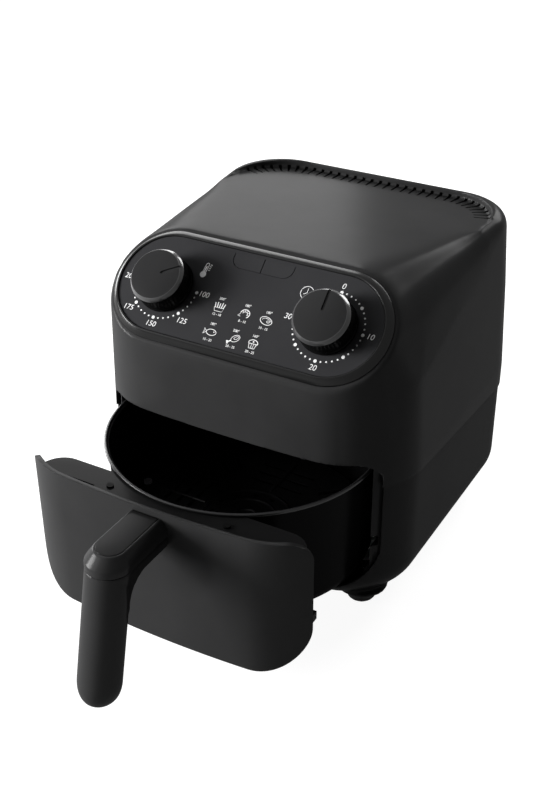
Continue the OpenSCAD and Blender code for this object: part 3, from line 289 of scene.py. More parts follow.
def add(tree, kind, inputs=None, **settings):
    """A new node; an input is a value, or another node's socket to link."""
    node = tree.nodes.new("ShaderNode" + kind)
    for key, value in settings.items():
        setattr(node, key, value)
    for key, value in (inputs or {}).items():
        if isinstance(value, bpy.types.NodeSocket):
            tree.links.new(value, node.inputs[key])
        else:
            node.inputs[key].default_value = value
    return node


def new_material(name):
    mat = bpy.data.materials.new(name)
    mat.use_nodes = True
    return mat, mat.node_tree


def patterned():
    """A new material, its tree, and the place on the object that its patterns follow."""
    mat, tree = new_material("work")
    return mat, tree, add(tree, "TexCoord").outputs["Object"]


def dressed(mat, color, rough, relief=None, even=None, coat_relief=False):
    """Links colour, roughness and relief (height, strength, distance); even values are set directly."""
    tree = mat.node_tree
    shader = tree.nodes["Principled BSDF"]
    tree.links.new(color, shader.inputs["Base Color"])
    tree.links.new(rough, shader.inputs["Roughness"])
    if relief:
        height, strength, distance = relief
        skin = add(tree, "Bump", {"Strength": strength, "Distance": distance, "Height": height})
        tree.links.new(skin.outputs["Normal"], shader.inputs["Normal"])
        if coat_relief:
            tree.links.new(skin.outputs["Normal"], shader.inputs["Coat Normal"])
    for key, value in (even or {}).items():
        shader.inputs[key].default_value = value
    return mat


def noise(tree, coord, scale, detail, rough, stretch=None):
    if stretch:
        coord = add(tree, "Mapping", {"Vector": coord, "Scale": stretch}).outputs["Vector"]
    return add(tree, "TexNoise", {"Vector": coord, "Scale": scale, "Detail": detail,
                                  "Roughness": rough}).outputs["Fac"]


def ramp(tree, value, out_low=0.0, out_high=1.0, low=0.3, high=0.7):
    """Maps low..high to out_low..out_high; most noise lies between 0.3 and 0.7."""
    return add(tree, "MapRange", {"Value": value, "From Min": low, "From Max": high, "To Min": out_low,
                                  "To Max": out_high}).outputs["Result"]


def tint(tree, factor, a, b):
    """Mixes two colours: a where factor is 0, b where it is 1."""
    mix = add(tree, "Mix", data_type="RGBA")
    tree.links.new(factor, mix.inputs["Factor"])
    mix.inputs[6].default_value = (*a, 1)
    mix.inputs[7].default_value = (*b, 1)
    return mix.outputs[2]


def shaded(color, k):
    """The colour made k times as light."""
    return tuple(min(1.0, c * k) for c in color)


def moulded(color, rough, grain=2600.0, bump=0.04, specular=0.0, spread=0.06, coat=0.07, coat_rough=0.28):
    """Moulded plastic: fine eroded grain, slow changes of gloss and a little unevenness of colour.

    Its gloss is the thin coat: a full specular level would turn black plastic grey under the white surround.
    """
    mat, tree, coord = patterned()
    fine = noise(tree, coord, grain, 2.0, 0.6)
    broad = noise(tree, coord, 14.0, 4.0, 0.6)
    flow = noise(tree, coord, 60.0, 3.0, 0.55, (1.0, 1.0, 0.25))
    gloss = add(tree, "Math", {0: broad, 1: flow}, operation="ADD").outputs[0]
    return dressed(mat, tint(tree, ramp(tree, broad), shaded(color, 0.9), shaded(color, 1.12)),
                   ramp(tree, gloss, rough - spread, rough + spread, 0.6, 1.4), (fine, bump * 10, 0.00002),
                   {"Specular IOR Level": specular, "Coat Weight": coat, "Coat Roughness": coat_rough},
                   coat_relief=True)


def metal(color, rough, brushed=(1.0, 1.0, 1.0), scale=900.0, bump=0.2, soiled=False):
    """Sheet or turned metal: drawn grain, uneven gloss, and darker stains where it is soiled."""
    mat, tree, coord = patterned()
    grain = noise(tree, coord, scale, 3.0, 0.6, brushed)
    stain = noise(tree, coord, 35.0, 5.0, 0.65)
    dark = shaded(color, 0.55 if soiled else 0.88)
    return dressed(mat, tint(tree, ramp(tree, stain, low=0.35, high=0.75), color, dark),
                   ramp(tree, grain, rough - 0.06, rough + 0.06), (grain, bump, 0.00003),
                   {"Metallic": 1.0})


def coated(color, rough, coat):
    """Non-stick coating: fine orange peel with small bright specks."""
    mat, tree, coord = patterned()
    peel = noise(tree, coord, 1500.0, 2.0, 0.5)
    cells = add(tree, "TexVoronoi", {"Vector": coord, "Scale": 700.0}, feature="F1").outputs["Distance"]
    speck = ramp(tree, cells, 1.0, 0.0, 0.0, 0.16)
    broad = noise(tree, coord, 22.0, 4.0, 0.6)
    return dressed(mat, tint(tree, speck, color, shaded(color, 2.6)),
                   ramp(tree, broad, rough - 0.05, rough + 0.06), (peel, 0.35, 0.00003),
                   {"Specular IOR Level": 0.0, "Coat Weight": coat, "Coat Roughness": 0.25})


def striped(color_a, color_b, scale, direction, rough, metallic):
    """Stacked sheets or wound wire: fine even stripes with their own relief."""
    mat, tree, coord = patterned()
    wave = add(tree, "TexWave", {"Vector": coord, "Scale": scale, "Distortion": 0.4, "Detail": 1.0},
               wave_type="BANDS", bands_direction=direction).outputs["Fac"]
    uneven = noise(tree, coord, 50.0, 4.0, 0.6)
    return dressed(mat, tint(tree, ramp(tree, wave, low=0.2, high=0.6), color_a, color_b),
                   ramp(tree, uneven, rough - 0.06, rough + 0.08), (wave, 0.6, 0.0002),
                   {"Metallic": metallic})


def fibrous(color):
    """Pressed mineral wool."""
    mat, tree, coord = patterned()
    strands = noise(tree, coord, 260.0, 6.0, 0.75, (1.0, 1.0, 6.0))
    return dressed(mat, tint(tree, ramp(tree, strands, low=0.35, high=0.65), shaded(color, 0.7), color),
                   ramp(tree, strands, 0.85, 0.98), (strands, 0.8, 0.0004))


def clear(color):
    """Clear moulded glass or lens."""
    mat, tree, coord = patterned()
    broad = noise(tree, coord, 90.0, 3.0, 0.5)
    return dressed(mat, tint(tree, ramp(tree, broad), shaded(color, 0.92), color),
                   ramp(tree, broad, 0.08, 0.13), even={"Transmission Weight": 0.7})


def ink(color):
    """Screen-printed ink with a slightly broken surface."""
    mat, tree, coord = patterned()
    worn = noise(tree, coord, 1400.0, 3.0, 0.6)
    return dressed(mat, tint(tree, ramp(tree, worn, low=0.25, high=0.6), shaded(color, 0.82), color),
                   ramp(tree, worn, 0.5, 0.65), even={"Specular IOR Level": 0.3})


# A finish for each slot in the record, and a few that only pieces use
BLACK = (0.03, 0.03, 0.0304)
MATERIALS = {
    "shell_plastic": moulded(BLACK, 0.36, bump=0.02, coat=0.08, coat_rough=0.22),
    "lower_plastic": moulded(BLACK, 0.38, bump=0.03, coat=0.06),
    "frame_plastic": moulded((0.034, 0.034, 0.0345), 0.42),
    "front_plastic": moulded(BLACK, 0.36, bump=0.02, coat=0.11, coat_rough=0.2),
    # A darker copy of the front plastic for the drawer's ledge: painted shade, where the housing shades it from
    # the light behind
    "bracket_plastic_painted_shade": moulded((0.012, 0.012, 0.0122), 0.36, bump=0.02, coat=0.08, coat_rough=0.2),
    "handle_plastic": moulded(BLACK, 0.30, bump=0.02, coat=0.12, coat_rough=0.2),
    "cap_plastic": moulded((0.013, 0.013, 0.0132), 0.42, bump=0.04, coat=0.1),
    "bezel_plastic": moulded((0.009, 0.009, 0.0091), 0.28, bump=0.01, coat=0.28, coat_rough=0.2),
    "fascia_print": moulded((0.034, 0.034, 0.036), 0.5, grain=3600.0, bump=0.05, coat=0.05, coat_rough=0.45),
    "knob_plastic": moulded((0.021, 0.021, 0.0215), 0.42, grain=3200.0, bump=0.05, coat=0.12, coat_rough=0.3),
    # Lighter and darker copies of the knob plastic: a painted highlight for the chamfer and painted shade for the
    # side
    "knob_edge": moulded((0.05, 0.05, 0.051), 0.25, bump=0.005, coat=0.7, coat_rough=0.16),
    "knob_side_painted_shade": moulded((0.005, 0.005, 0.0051), 0.3, bump=0.01, coat=0.1, coat_rough=0.2),
    "lens_plastic": moulded((0.032, 0.032, 0.034), 0.42, bump=0.02, coat=0.1),
    "pad_rubber": moulded((0.02, 0.02, 0.02), 0.75, grain=1500.0, bump=0.1, specular=0.1),
    # A lighter, glossier copy of the pan coating for the crisper plate: its lighter colour is painted light in the
    # unlit pan
    "crisper_coating_painted_light": coated((0.02, 0.02, 0.021), 0.35, 0.45),
    "silicone": moulded((0.30, 0.30, 0.31), 0.6, grain=1800.0, bump=0.05, specular=0.3),
    "pan_coating": coated((0.006, 0.006, 0.0063), 0.4, 0.03),
    # A lighter, glossier copy of the pan coating for the top of the rim: its lighter colour is a painted highlight
    # line
    "pan_rim_painted_highlight": coated((0.016, 0.016, 0.0165), 0.34, 0.45),
    "sheet_steel": metal((0.62, 0.63, 0.64), 0.36, (1.0, 0.06, 1.0), soiled=True),
    "bright_steel": metal((0.70, 0.70, 0.72), 0.24, (1.0, 1.0, 0.1)),
    "aluminium_sheet": metal((0.78, 0.79, 0.80), 0.32, (0.08, 1.0, 1.0)),
    "element_metal": metal((0.20, 0.19, 0.185), 0.5, scale=500.0, bump=0.3, soiled=True),
    "insulation": fibrous((0.72, 0.69, 0.60)),
    "laminations": striped((0.10, 0.10, 0.11), (0.34, 0.34, 0.36), 900.0, "Z", 0.42, 0.9),
    "copper_wire": striped((0.22, 0.06, 0.02), (0.68, 0.28, 0.12), 700.0, "Z", 0.3, 1.0),
    "black_screw": moulded((0.008, 0.008, 0.008), 0.4, coat=0.05),
    "bronze": metal((0.60, 0.42, 0.22), 0.35, scale=1500.0, soiled=True),
    "fan_plastic": moulded((0.09, 0.09, 0.095), 0.45),
    "phenolic": moulded((0.42, 0.36, 0.26), 0.5, grain=900.0, bump=0.08, spread=0.08),
    "board": striped((0.02, 0.10, 0.04), (0.03, 0.15, 0.06), 300.0, "X", 0.4, 0.0),
    "lamp_glass": clear((0.95, 0.55, 0.30)),
    "grille_plastic": moulded((0.011, 0.011, 0.0115), 0.45),
    "switch_plastic": moulded((0.05, 0.05, 0.055), 0.4),
    "plunger_plastic": moulded((0.03, 0.03, 0.03), 0.35),
    "slide_plastic": moulded((0.03, 0.03, 0.03), 0.4),
    "panel_ink": ink((0.95, 0.95, 0.95)),
}
for name, mat in MATERIALS.items():
    mat.name = name

# Every CAD node takes the material of its slot in the record; the pieces below replace the outer ones.
for part in frame["record"]["subparts"]:
    mesh = frame["nodes"][part["node"]].data
    mesh.materials.clear()
    mesh.materials.append(MATERIALS[part["material_slot"]])


# ---------- housing ----------

# The opening for the drawer front: half width, bottom, top, and its bottom and top corner radii
OPEN_HALF_W, OPEN_Z0, OPEN_Z1, OPEN_R0, OPEN_R1 = 104.3, 21.0, 123.4, 36.0, 14.0


def mouth(inset, y0, y1):
    """The drawer's opening, shrunk by inset and run from y0 to y1."""
    return along_y(rounded(OPEN_HALF_W - inset, OPEN_Z0 + inset, OPEN_Z1 - inset, OPEN_R0 - inset,
                           OPEN_R1 - inset), y0, y1)


opening = mouth(0, -400, -40)

# The upper housing: upright wall, belt where it starts to lean in, round shoulders and round rim
WALL_Z = (80, 107)
BELT_Z, BELT_IN = 171, 3.25
SHOULDER_Z, SHOULDER_IN, SHOULDER_R = 206, 18, 9
SHOULDER_Y = (-45, BACK - REAR_R)
RIM_TUBE, RIM_RING = 11, 32.5


def round_disc(x, y, z, flat, tube, steps, sides):
    """Points on the upper half of a disc's round edge: rings that run in from flat + tube to flat."""
    points = []
    for i in range(steps + 1):
        a = radians(90 * i / steps)
        points += [(x + px, y + py, z + tube * sin(a))
                   for px, py in arc(0, 0, flat + tube * cos(a), 0, 360 - 360 / sides, sides - 1)]
    return points


def upper_form(inset, rim_z):
    """The closed form of the upper housing, shrunk by inset."""
    points = [(x, y, z) for z in WALL_Z for x, y in plan(inset)]
    points += [(x, y, BELT_Z) for x, y in plan(inset + BELT_IN)]
    height = -BEZEL_DROP - inset
    grow = BEZEL_W + PANEL_MARGIN - inset
    points += [PANEL @ Vector((u, v, height)) for u, v in fascia_outline(grow, 40)]
    for s in (-1, 1):
        for y in SHOULDER_Y:
            points += round_disc(s * (HALF_W - SHOULDER_IN), y, SHOULDER_Z - inset, 0, SHOULDER_R, 12, 36)
        points += round_disc(s * (HALF_W - REAR_R), BACK - REAR_R, rim_z - RIM_TUBE - inset, RIM_RING,
                             RIM_TUBE, 18, 72)
    return hull(points)


# The lowered top surface inside the rim: it falls from the crest above the panel to the foot of the rim
TOP_HALF_W, TOP_BACK, TOP_R = HALF_W - 15, BACK - 15, 46.0
TOP_FRONT = -90
CREST_Y, CREST_RISE = -54.0, 26.5
TOP_FALL = (knob_centre.z + CREST_RISE - VENT_FLOOR_Z) / (TOP_BACK - CREST_Y)
TOP = offset(0, TOP_BACK, VENT_FLOOR_Z) @ rotation(-atan(TOP_FALL), "X") @ offset(0, -TOP_BACK, 0)
top_outline = (arc(TOP_HALF_W - TOP_R, TOP_BACK - TOP_R, TOP_R, 0, 90, 30)
               + arc(-TOP_HALF_W + TOP_R, TOP_BACK - TOP_R, TOP_R, 90, 180, 30)
               + [(-TOP_HALF_W, TOP_FRONT), (TOP_HALF_W, TOP_FRONT)])

SEAM = offset(0, 0, SEAM_Z) @ rotation(-atan(SEAM_FALL), "X")
FAR = 300


def seam_side(lift, up):
    """All that lies above, or below, a plane parallel to the seam."""
    z0, z1 = (lift, FAR) if up else (-FAR, lift)
    return block(-FAR, FAR, -FAR, FAR, z0, z1, SEAM)


VENT_R, VENT_DEPTH, GROOVE_L = 1.25, 6.5, 11.5
VENTS_BACK, VENTS_CORNER = 17, 8


def vent_cutter():
    """A hole at the foot of the rim and the shallow groove that leads to it."""
    hole = prism([(x, y + 0.5) for x, y in arc(0, 0, VENT_R, 0, 180, 10)]
                 + [(x, y - 2.2) for x, y in arc(0, 0, VENT_R, 180, 360, 10)], -VENT_DEPTH, 1.6)
    outline = arc(0, 0, 0.95, 0, 180, 8) + [(x, y - GROOVE_L) for x, y in arc(0, 0, 0.75, 180, 360, 8)]
    groove = loft([[(x * k, y, z) for x, y in outline] for z, k in ((-1.5, 0.5), (0.0, 1.0), (1.5, 1.4))])
    return hole, groove


def vent_places():
    """Even steps along the straight back and round both corners."""
    run = TOP_HALF_W - TOP_R
    pitch = 2 * run / (VENTS_BACK - 1)
    for i in range(VENTS_BACK):
        yield TOP @ offset(-run + i * pitch, TOP_BACK, 0)
    step = degrees(pitch / TOP_R)
    for s in (-1, 1):
        for i in range(1, VENTS_CORNER + 1):
            yield (TOP @ offset(s * run, TOP_BACK - TOP_R, 0) @ rotation(radians(-s * i * step))
                   @ offset(0, TOP_R, 0))


CROWN_Z, CROWN_X, CROWN_BACK = 190, 22, 52


def crown_softness(p):
    """Full where the flat top runs out into the shoulders, nothing near the panel, the rim and the walls."""
    above, aside = p.z - CROWN_Z, abs(p.x) - CROWN_X
    if above < 0 or aside < 0:
        return 0.0
    local = PANEL.inverted() @ p
    reach = max(abs(local.x) - (FASCIA_L - FASCIA_H), 0.0)
    from_panel = sqrt(reach ** 2 + max(local.y - FASCIA_V, 0.0) ** 2) - FASCIA_H - BEZEL_W - PANEL_MARGIN
    return max(0.0, min(1.0, from_panel / 10, (CROWN_BACK - p.y) / 22, above / 10, aside / 15))


# The outside is cut and rounded before it is hollowed. The rounding lowers the shoulders, so the wall above
# the seam is UPPER_EXTRA_WALL thicker inside.
UPPER_EXTRA_WALL, PANEL_LEDGE = 4, 1.2
shell = softened(upper_form(0, RIM_Z), voxel=1.4, rounds=7)
shell = boolean(shell, [prism(top_outline, 0, 30, TOP), opening])
shell = softened(shell, voxel=1.1, rounds=2)
shell = softened_where(shell, crown_softness, rounds=400)
cutters = [upper_form(WALL + UPPER_EXTRA_WALL, VENT_FLOOR_Z), prism(plan(WALL), 60, 106),
           seam_side(SEAM_GAP / 2, False), prism(fascia_outline(BEZEL_W - PANEL_LEDGE, 40), -30, 30, PANEL)]
vent_tools = vent_cutter()
cutters += [shifted(tool, place) for place in vent_places() for tool in vent_tools]
piece("housing_shell", boolean(shell, cutters), "housing", "shell_plastic", ["upper_shell"])


LOWER_EDGE_R, LOWER_IN = 22, 1


def lower_rings(inset):
    """Rings from the flat bottom, round the lower edge and up the wall."""
    edge = LOWER_EDGE_R - inset
    rings = []
    for i in range(13):
        a = radians(90 - 7.5 * i)
        rings.append([(x, y, GROUND_GAP + LOWER_EDGE_R - edge * sin(a))
                      for x, y in plan(LOWER_IN + inset + edge * (1 - cos(a)))])
    rings.append([(x, y, 110) for x, y in plan(LOWER_IN + inset)])
    return rings


# Lower housing: feet with seats for the pads, the rear grille's window, the gland's hole, the seam's lip
FOOT_X, FOOT_Y = 87, (-84, 86)
FOOT = [(0, 0.6), (8.6, 0.6), (9.4, 1.0), (9.9, 1.9), (10.3, 3.2), (11.2, 5.8), (12.8, 8.4), (15.2, 10.6),
        (18.0, 12.0), (18.0, 14.0), (0, 14.0)]
PAD_POCKET = [(0, -1), (8.3, -1), (8.3, 4.0), (0, 4.0)]
GRILLE_HALF_W, GRILLE_Z0, GRILLE_Z1 = 34, 44, 78
GLAND_X, GLAND_Z, GLAND_R = 58, 44, 6.3
LIP_GAP, LIP_T, LIP_UP, LIP_DOWN = 0.3, 1.5, 5.9, 6
feet, pockets = [], []
for s in (-1, 1):
    for y in FOOT_Y:
        at = offset(s * FOOT_X, y, 0)
        feet.append(lathe(FOOT, 64, at))
        pockets.append(lathe(PAD_POCKET, 64, at))
base = boolean(loft(lower_rings(0)), feet, "UNION")
base = softened(boolean(base, [opening]), voxel=1.1, rounds=2)
base = boolean(base, [loft(lower_rings(WALL)), seam_side(-SEAM_GAP / 2, True)])
window = along_y([(-GRILLE_HALF_W, GRILLE_Z0), (GRILLE_HALF_W, GRILLE_Z0), (GRILLE_HALF_W, GRILLE_Z1),
                  (-GRILLE_HALF_W, GRILLE_Z1)], 106, 400)
gland_hole = shifted(cylinder(0, 0, GLAND_R, 0, 200),
                     offset(GLAND_X, 100, GLAND_Z) @ rotation(-pi / 2, "X"))
base = boolean(base, pockets + [window, gland_hole])
lip = boolean(prism(plan(WALL + LIP_GAP), 60, 140),
              [prism(plan(WALL + LIP_GAP + LIP_T), 50, 150), seam_side(LIP_UP, True),
               seam_side(-LIP_DOWN, False), opening])
base = boolean(base, [lip], "UNION")
piece("housing_base", base, "housing", "lower_plastic", ["lower_housing"])

# The frame's face: a band round the mouth, behind the edge of the closed drawer front. Its notch lets the
# interlock finger on the drawer through.
MOUTH_HALF_W, MOUTH_Z0, MOUTH_R, FACE_Y, FACE_IN = 98.4, 23.2, 20, -82.9, 3.7
face = boolean(mouth(0.3, -140, FACE_Y), [prism(plan(FACE_IN), 0, 140)], "INTERSECT")
notch = block(90, 102.2, -160, -60, 56, 64)
face = boolean(face, [along_y(rounded(MOUTH_HALF_W, MOUTH_Z0, 150, MOUTH_R, 2), -160, -60), notch])
piece("front_frame_face", bevelled(face, 0.6, 2, 50), "housing", "frame_plastic")


# ---------- control panel ----------

def round_fascia(profile):
    """Sweeps a profile of (outward, height) points round the edge of the fascia."""
    c = FASCIA_L - FASCIA_H
    rings = []
    for s, a0 in ((1, -90), (-1, 90)):
        for i in range(41):
            a = radians(a0 + 180 * i / 40)
            rings.append([(s * c + (FASCIA_H + x) * cos(a), FASCIA_V + (FASCIA_H + x) * sin(a), h)
                          for x, h in profile])
    return loft(rings, PANEL, closed=True)


# Bezel: seat under the fascia, narrow raised edge, long slope down to the shell
bezel = round_fascia([(-2.5, -6), (-2.5, -2), (0.15, -2), (0.15, 0.35), (0.35, 0.7), (0.7, 0.88), (1.3, 0.9),
                      (1.75, 0.72), (5.1, -2.35), (5.4, -2.75), (5.5, -3.5), (3.9, -3.5), (3.9, -6)])
piece("panel_bezel_ring", bezel, "housing", "bezel_plastic", ["panel_bezel"], sharp=38)

# Fascia, with one window for both indicator lenses
LENS_U0, LENS_U1, LENS_V0, LENS_V1, LENS_R = -21.0, 23.8, 23.0, 33.0, 7.0
LENS_END_GAP, LENS_MIDDLE_GAP, LENS_RISE = 0.3, 0.2, 0.25
SPINDLE_HOLE_R = 3.3


def lens_outline(u0, u1, left, right):
    """A lens from u0 to u1, with a round lower corner at the left or the right where asked."""
    out = arc(u0 + LENS_R, LENS_V0 + LENS_R, LENS_R, 180, 270, 12) if left else [(u0, LENS_V0)]
    out += arc(u1 - LENS_R, LENS_V0 + LENS_R, LENS_R, 270, 360, 12) if right else [(u1, LENS_V0)]
    return out + [(u1, LENS_V1), (u0, LENS_V1)]


plate = prism(fascia_outline(0, 48), -2, 0, PANEL)
window = prism(lens_outline(LENS_U0, LENS_U1, True, True), -5, 5, PANEL)
plate = boolean(plate, [window] + [cylinder(s * KNOB_U, 0, SPINDLE_HOLE_R, -5, 5, at=PANEL) for s in (-1, 1)])
piece("fascia_plate", bevelled(plate, 0.15, 1), "housing", "fascia_print", ["control_fascia"], sharp=12)
middle = (LENS_U0 + LENS_U1) / 2
for side, u0, u1 in (("left", LENS_U0 + LENS_END_GAP, middle - LENS_MIDDLE_GAP),
                     ("right", middle + LENS_MIDDLE_GAP, LENS_U1 - LENS_END_GAP)):
    lens = prism(lens_outline(u0, u1, side == "left", side == "right"), -2, -0.1,
                 PANEL @ offset(0, LENS_RISE, 0))
    piece("lens_" + side, bevelled(lens, 0.2, 1), "housing", "lens_plastic", ["indicator_lens_" + side],
          sharp=12)

# Knobs: turned body with a skirt, a chamfered face and an engraved pointer
# Below the edge height the knob's side is drawn darker, as painted shade
KNOB_H, KNOB_PAINTED_SHADE_TOP_Z, KNOB_FACE_R = 17.8, 15.3, 17.0
KNOB = [(0, 0.6), (19.1, 0.6), (19.4, 0.9), (19.5, 1.4), (19.5, 2.6), (19.4, 3.0), (19.2, 3.3), (19.0, 14.9),
        (19.05, 15.2), (18.95, 15.5), (17.5, 17.5), (17.3, 17.72), (KNOB_FACE_R, KNOB_H), (0, KNOB_H)]
KNOB_BORE = [(0, -1), (3.05, -1), (3.05, 11.2), (0, 11.2)]
KNOB_HOLLOW = [(6, -1), (16.2, -1), (16.2, 10.2), (6, 10.2)]
POINTER_HALF_W, POINTER_START, POINTER_DEPTH = 0.95, 4.4, 0.8
TEMPERATURE_START = 60    # degrees clockwise from straight up, as in the photograph


def knob_painted_light_zone(centre):
    """0 for the grained face, 1 for the chamfer, drawn lighter as a painted highlight, 2 for the side, drawn
    darker as painted shade.
    """
    place = PANEL.inverted() @ centre
    off = sqrt((abs(place.x) - KNOB_U) ** 2 + place.y ** 2)
    if place.z < KNOB_PAINTED_SHADE_TOP_Z:
        return 2
    return 1 if off > KNOB_FACE_R and place.z < KNOB_H - 0.02 else 0


# Each knob's chamfer is drawn lighter, a painted highlight, and its side darker, painted shade
for name, node, body, side, turn in (
        ("temperature_dial", "temperature_knob", "temperature_control", -1, TEMPERATURE_START),
        ("timer_dial", "timer_knob", "timer_control", 1, 0)):
    at = PANEL @ offset(side * KNOB_U, 0, 0) @ rotation(radians(-turn))
    pointer = prism(arc(0, POINTER_START, POINTER_HALF_W, 180, 360, 12)
                    + [(POINTER_HALF_W, 30), (-POINTER_HALF_W, 30)], KNOB_H - POINTER_DEPTH, KNOB_H + 2, at)
    knob = boolean(lathe(KNOB, 160, at), [pointer, lathe(KNOB_BORE, 48, at), lathe(KNOB_HOLLOW, 96, at)])
    piece(name, knob, body, "knob_plastic", [node], extra=(("knob_edge", "knob_side_painted_shade"), knob_painted_light_zone))

# Printed marks, a thin layer of ink on the fascia
INK_H, INK_T = 0.005, 0.03
RING_R, BIG_DOT, SMALL_DOT = 23.5, 1.15, 0.6
NUMERAL_H = 3.7


def print_piece(name, meshes):
    """Joins the marks into one piece."""
    bm = bmesh.new()
    for me in meshes:
        bm.from_mesh(me)
    out = bpy.data.meshes.new(name)
    bm.to_mesh(out)
    bm.free()
    piece(name, out, "housing", "panel_ink")


def dot(u, v, r):
    return cylinder(u, v, r, INK_H, INK_H + INK_T, 20, PANEL)


def words(text, u, v, size, slant=0.12, bold=0.0):
    """Numerals as flat meshes, centred on (u, v); size is the figure height."""
    curve = bpy.data.curves.new("text", "FONT")
    curve.body = text
    curve.size = size / 0.7
    curve.shear = slant
    curve.offset = bold * size / 4
    curve.align_x = "CENTER"
    curve.align_y = "CENTER"
    curve.extrude = INK_T / 2
    me = evaluated_mesh(new_object("text", curve))
    me.transform(PANEL @ offset(u, v, INK_H + INK_T / 2))
    return me


def stroke(points, width, closed=False):
    """A line of ink through the points."""
    rings, last = [], len(points) - 1
    for i, point in enumerate(points):
        before = points[i - 1] if closed or i > 0 else point
        after = points[0 if i == last else i + 1] if closed or i < last else point
        along = (Vector(after) - Vector(before)).normalized() * width / 2
        rings.append([(point[0] - s * along.y, point[1] + s * along.x, z)
                      for s, z in ((1, INK_H), (-1, INK_H), (-1, INK_H + INK_T), (1, INK_H + INK_T))])
    return loft(rings, PANEL, closed=closed)


def ellipse(cu, cv, a, b, tilt=0, start=0, end=360, n=24):
    """Points round an ellipse from start, ending one step short of end."""
    out, k = [], radians(tilt)
    for i in range(n):
        t = radians(start + (end - start) * i / n)
        x, y = a * cos(t), b * sin(t)
        out.append((cu + x * cos(k) - y * sin(k), cv + x * sin(k) + y * cos(k)))
    return out


def around(side, angle, r):
    """A place at an angle clockwise from straight up, round a knob."""
    return side * KNOB_U + r * sin(radians(angle)), r * cos(radians(angle))


marks = []
for side, first, count in ((1, 0, 31), (-1, 90, 21)):
    for i in range(count):
        marks.append(dot(*around(side, first + i * 9, RING_R), SMALL_DOT if i % 5 else BIG_DOT))
for side, text, angle, r in (
        (1, "0", 0, 27.6), (1, "10", 90, 28.6), (1, "20", 180, 28.0), (1, "30", 270, 28.6),
        (-1, "100", 90, 29.0), (-1, "125", 135, 29.6), (-1, "150", 180, 28.0), (-1, "175", 225, 29.6),
        (-1, "200", 270, 29.2)):
    marks.append(words(text, *around(side, angle, r), NUMERAL_H))
print_piece("dial_print", marks)

# A clock with its two hands
cu, cv = 37.8, 17.9
icons = [stroke(ellipse(cu, cv, 4.4, 4.4, 0, 40, 330, 28), 0.42),
         stroke([(cu, cv + 3.1), (cu, cv), (cu - 2.2, cv - 1.4)], 0.42)]
# A thermometer, leaning a little, with four marks beside it
cu, cv = -37.2, 16.6
tube = [(-1.1, -1.4), (-1.1, 3.9)] + arc(0, 3.9, 1.1, 180, 0, 6) + [(1.1, -1.4)]
icons += [stroke([(cu + x + 0.12 * y, cv + y) for x, y in tube], 0.45), dot(cu - 0.4, cv - 3.2, 2.2),
          stroke([(cu - 0.4, cv - 2.0), (cu + 0.35, cv + 2.8)], 0.8)]
for k in range(4):
    left, height = cu + 2.5 - 0.15 * k, cv + 4.2 - k * 1.3
    icons.append(stroke([(left, height), (left + 1.4, height)], 0.4))
print_piece("icon_print", icons)


# Six foods of plain strokes, each drawn about its own centre

def chips():
    tray = stroke([(-3, -0.6), (-2.2, -2.6), (2.2, -2.6), (3, -0.6), (-3, -0.6)], 0.3)
    return [tray] + [stroke([(k, -0.6), (k * 1.25, 2.0 + 0.5 * (i % 2))], 0.55)
                     for i, k in enumerate((-2.4, -1.2, 0.0, 1.2, 2.4))]


def prawn():
    rings = []
    for a in (-20, 20, 60, 100, 140):
        c, s = cos(radians(a)), sin(radians(a))
        rings.append(stroke([(1.3 * c, 1.1 * s), (2.7 * c, 2.3 * s)], 0.25))
    return [stroke(ellipse(0, 0, 2.7, 2.3, 0, -60, 190, 22), 0.45),
            stroke(ellipse(0, 0, 1.4, 1.1, 0, -40, 190, 16), 0.3), *rings,
            stroke([(-2.6, -0.4), (-3.8, -1.6), (-2.2, -1.8)], 0.35)]


def steak():
    return [stroke(ellipse(0, 0, 3.6, 2.1, -12), 0.35, True),
            stroke(ellipse(0.3, 0, 2.6, 1.3, -12, 20, 200), 0.25),
            stroke(ellipse(1.3, -0.3, 0.8, 0.6), 0.3, True)]


def fish():
    return [stroke(ellipse(0.7, 0, 2.9, 1.7), 0.35, True), dot(2.2, 0.4, 0.3),
            stroke([(-2.1, 0), (-4.0, 1.5), (-3.6, 0), (-4.0, -1.5), (-2.1, 0)], 0.35)]


def leg():
    return [stroke(ellipse(1.2, 0.5, 2.6, 1.7, 35), 0.3, True), stroke([(-0.8, -1.0), (-2.6, -2.2)], 0.7),
            dot(-2.9, -1.9, 0.55), dot(-2.5, -2.7, 0.55), stroke(ellipse(1.6, 0.9, 1.4, 0.7, 35), 0.25, True)]


def cake():
    return [stroke(ellipse(0, 0.4, 2.8, 2.1, 0, 0, 180, 16), 0.4), stroke([(-2.8, 0.3), (2.8, 0.3)], 0.35),
            stroke([(-2.2, 0.2), (-1.6, -2.3), (1.6, -2.3), (2.2, 0.2)], 0.35),
            stroke([(-0.6, 0), (-0.5, -2.2)], 0.25), stroke([(0.7, 0), (0.5, -2.2)], 0.25), dot(0, 1.4, 0.45)]


FOOD_SCALE = 1.22
foods = []
for u, v, draw, heat, minutes in (
        (-16.7, -5.3, chips, "200", "12 - 18"), (2.5, -5.6, prawn, "180", "8 - 12"),
        (18.3, -6.6, steak, "180", "10 - 15"), (-16.1, -23.1, fish, "180", "15 - 20"),
        (1.3, -23.6, leg, "200", "20 - 25"), (15.7, -23.7, cake, "160", "20 - 25")):
    place = PANEL @ offset(u, v, 0) @ Matrix.Diagonal((FOOD_SCALE, FOOD_SCALE, 1, 1)) @ PANEL.inverted()
    foods += [shifted(me, place) for me in draw()]
    foods.append(words(heat + "°", u, v + 5.6, 1.7, 0.0, 0.06))
    foods.append(words(minutes, u, v - 5.4, 1.6, 0.0, 0.06))
print_piece("food_print", foods)


# ---------- drawer ----------

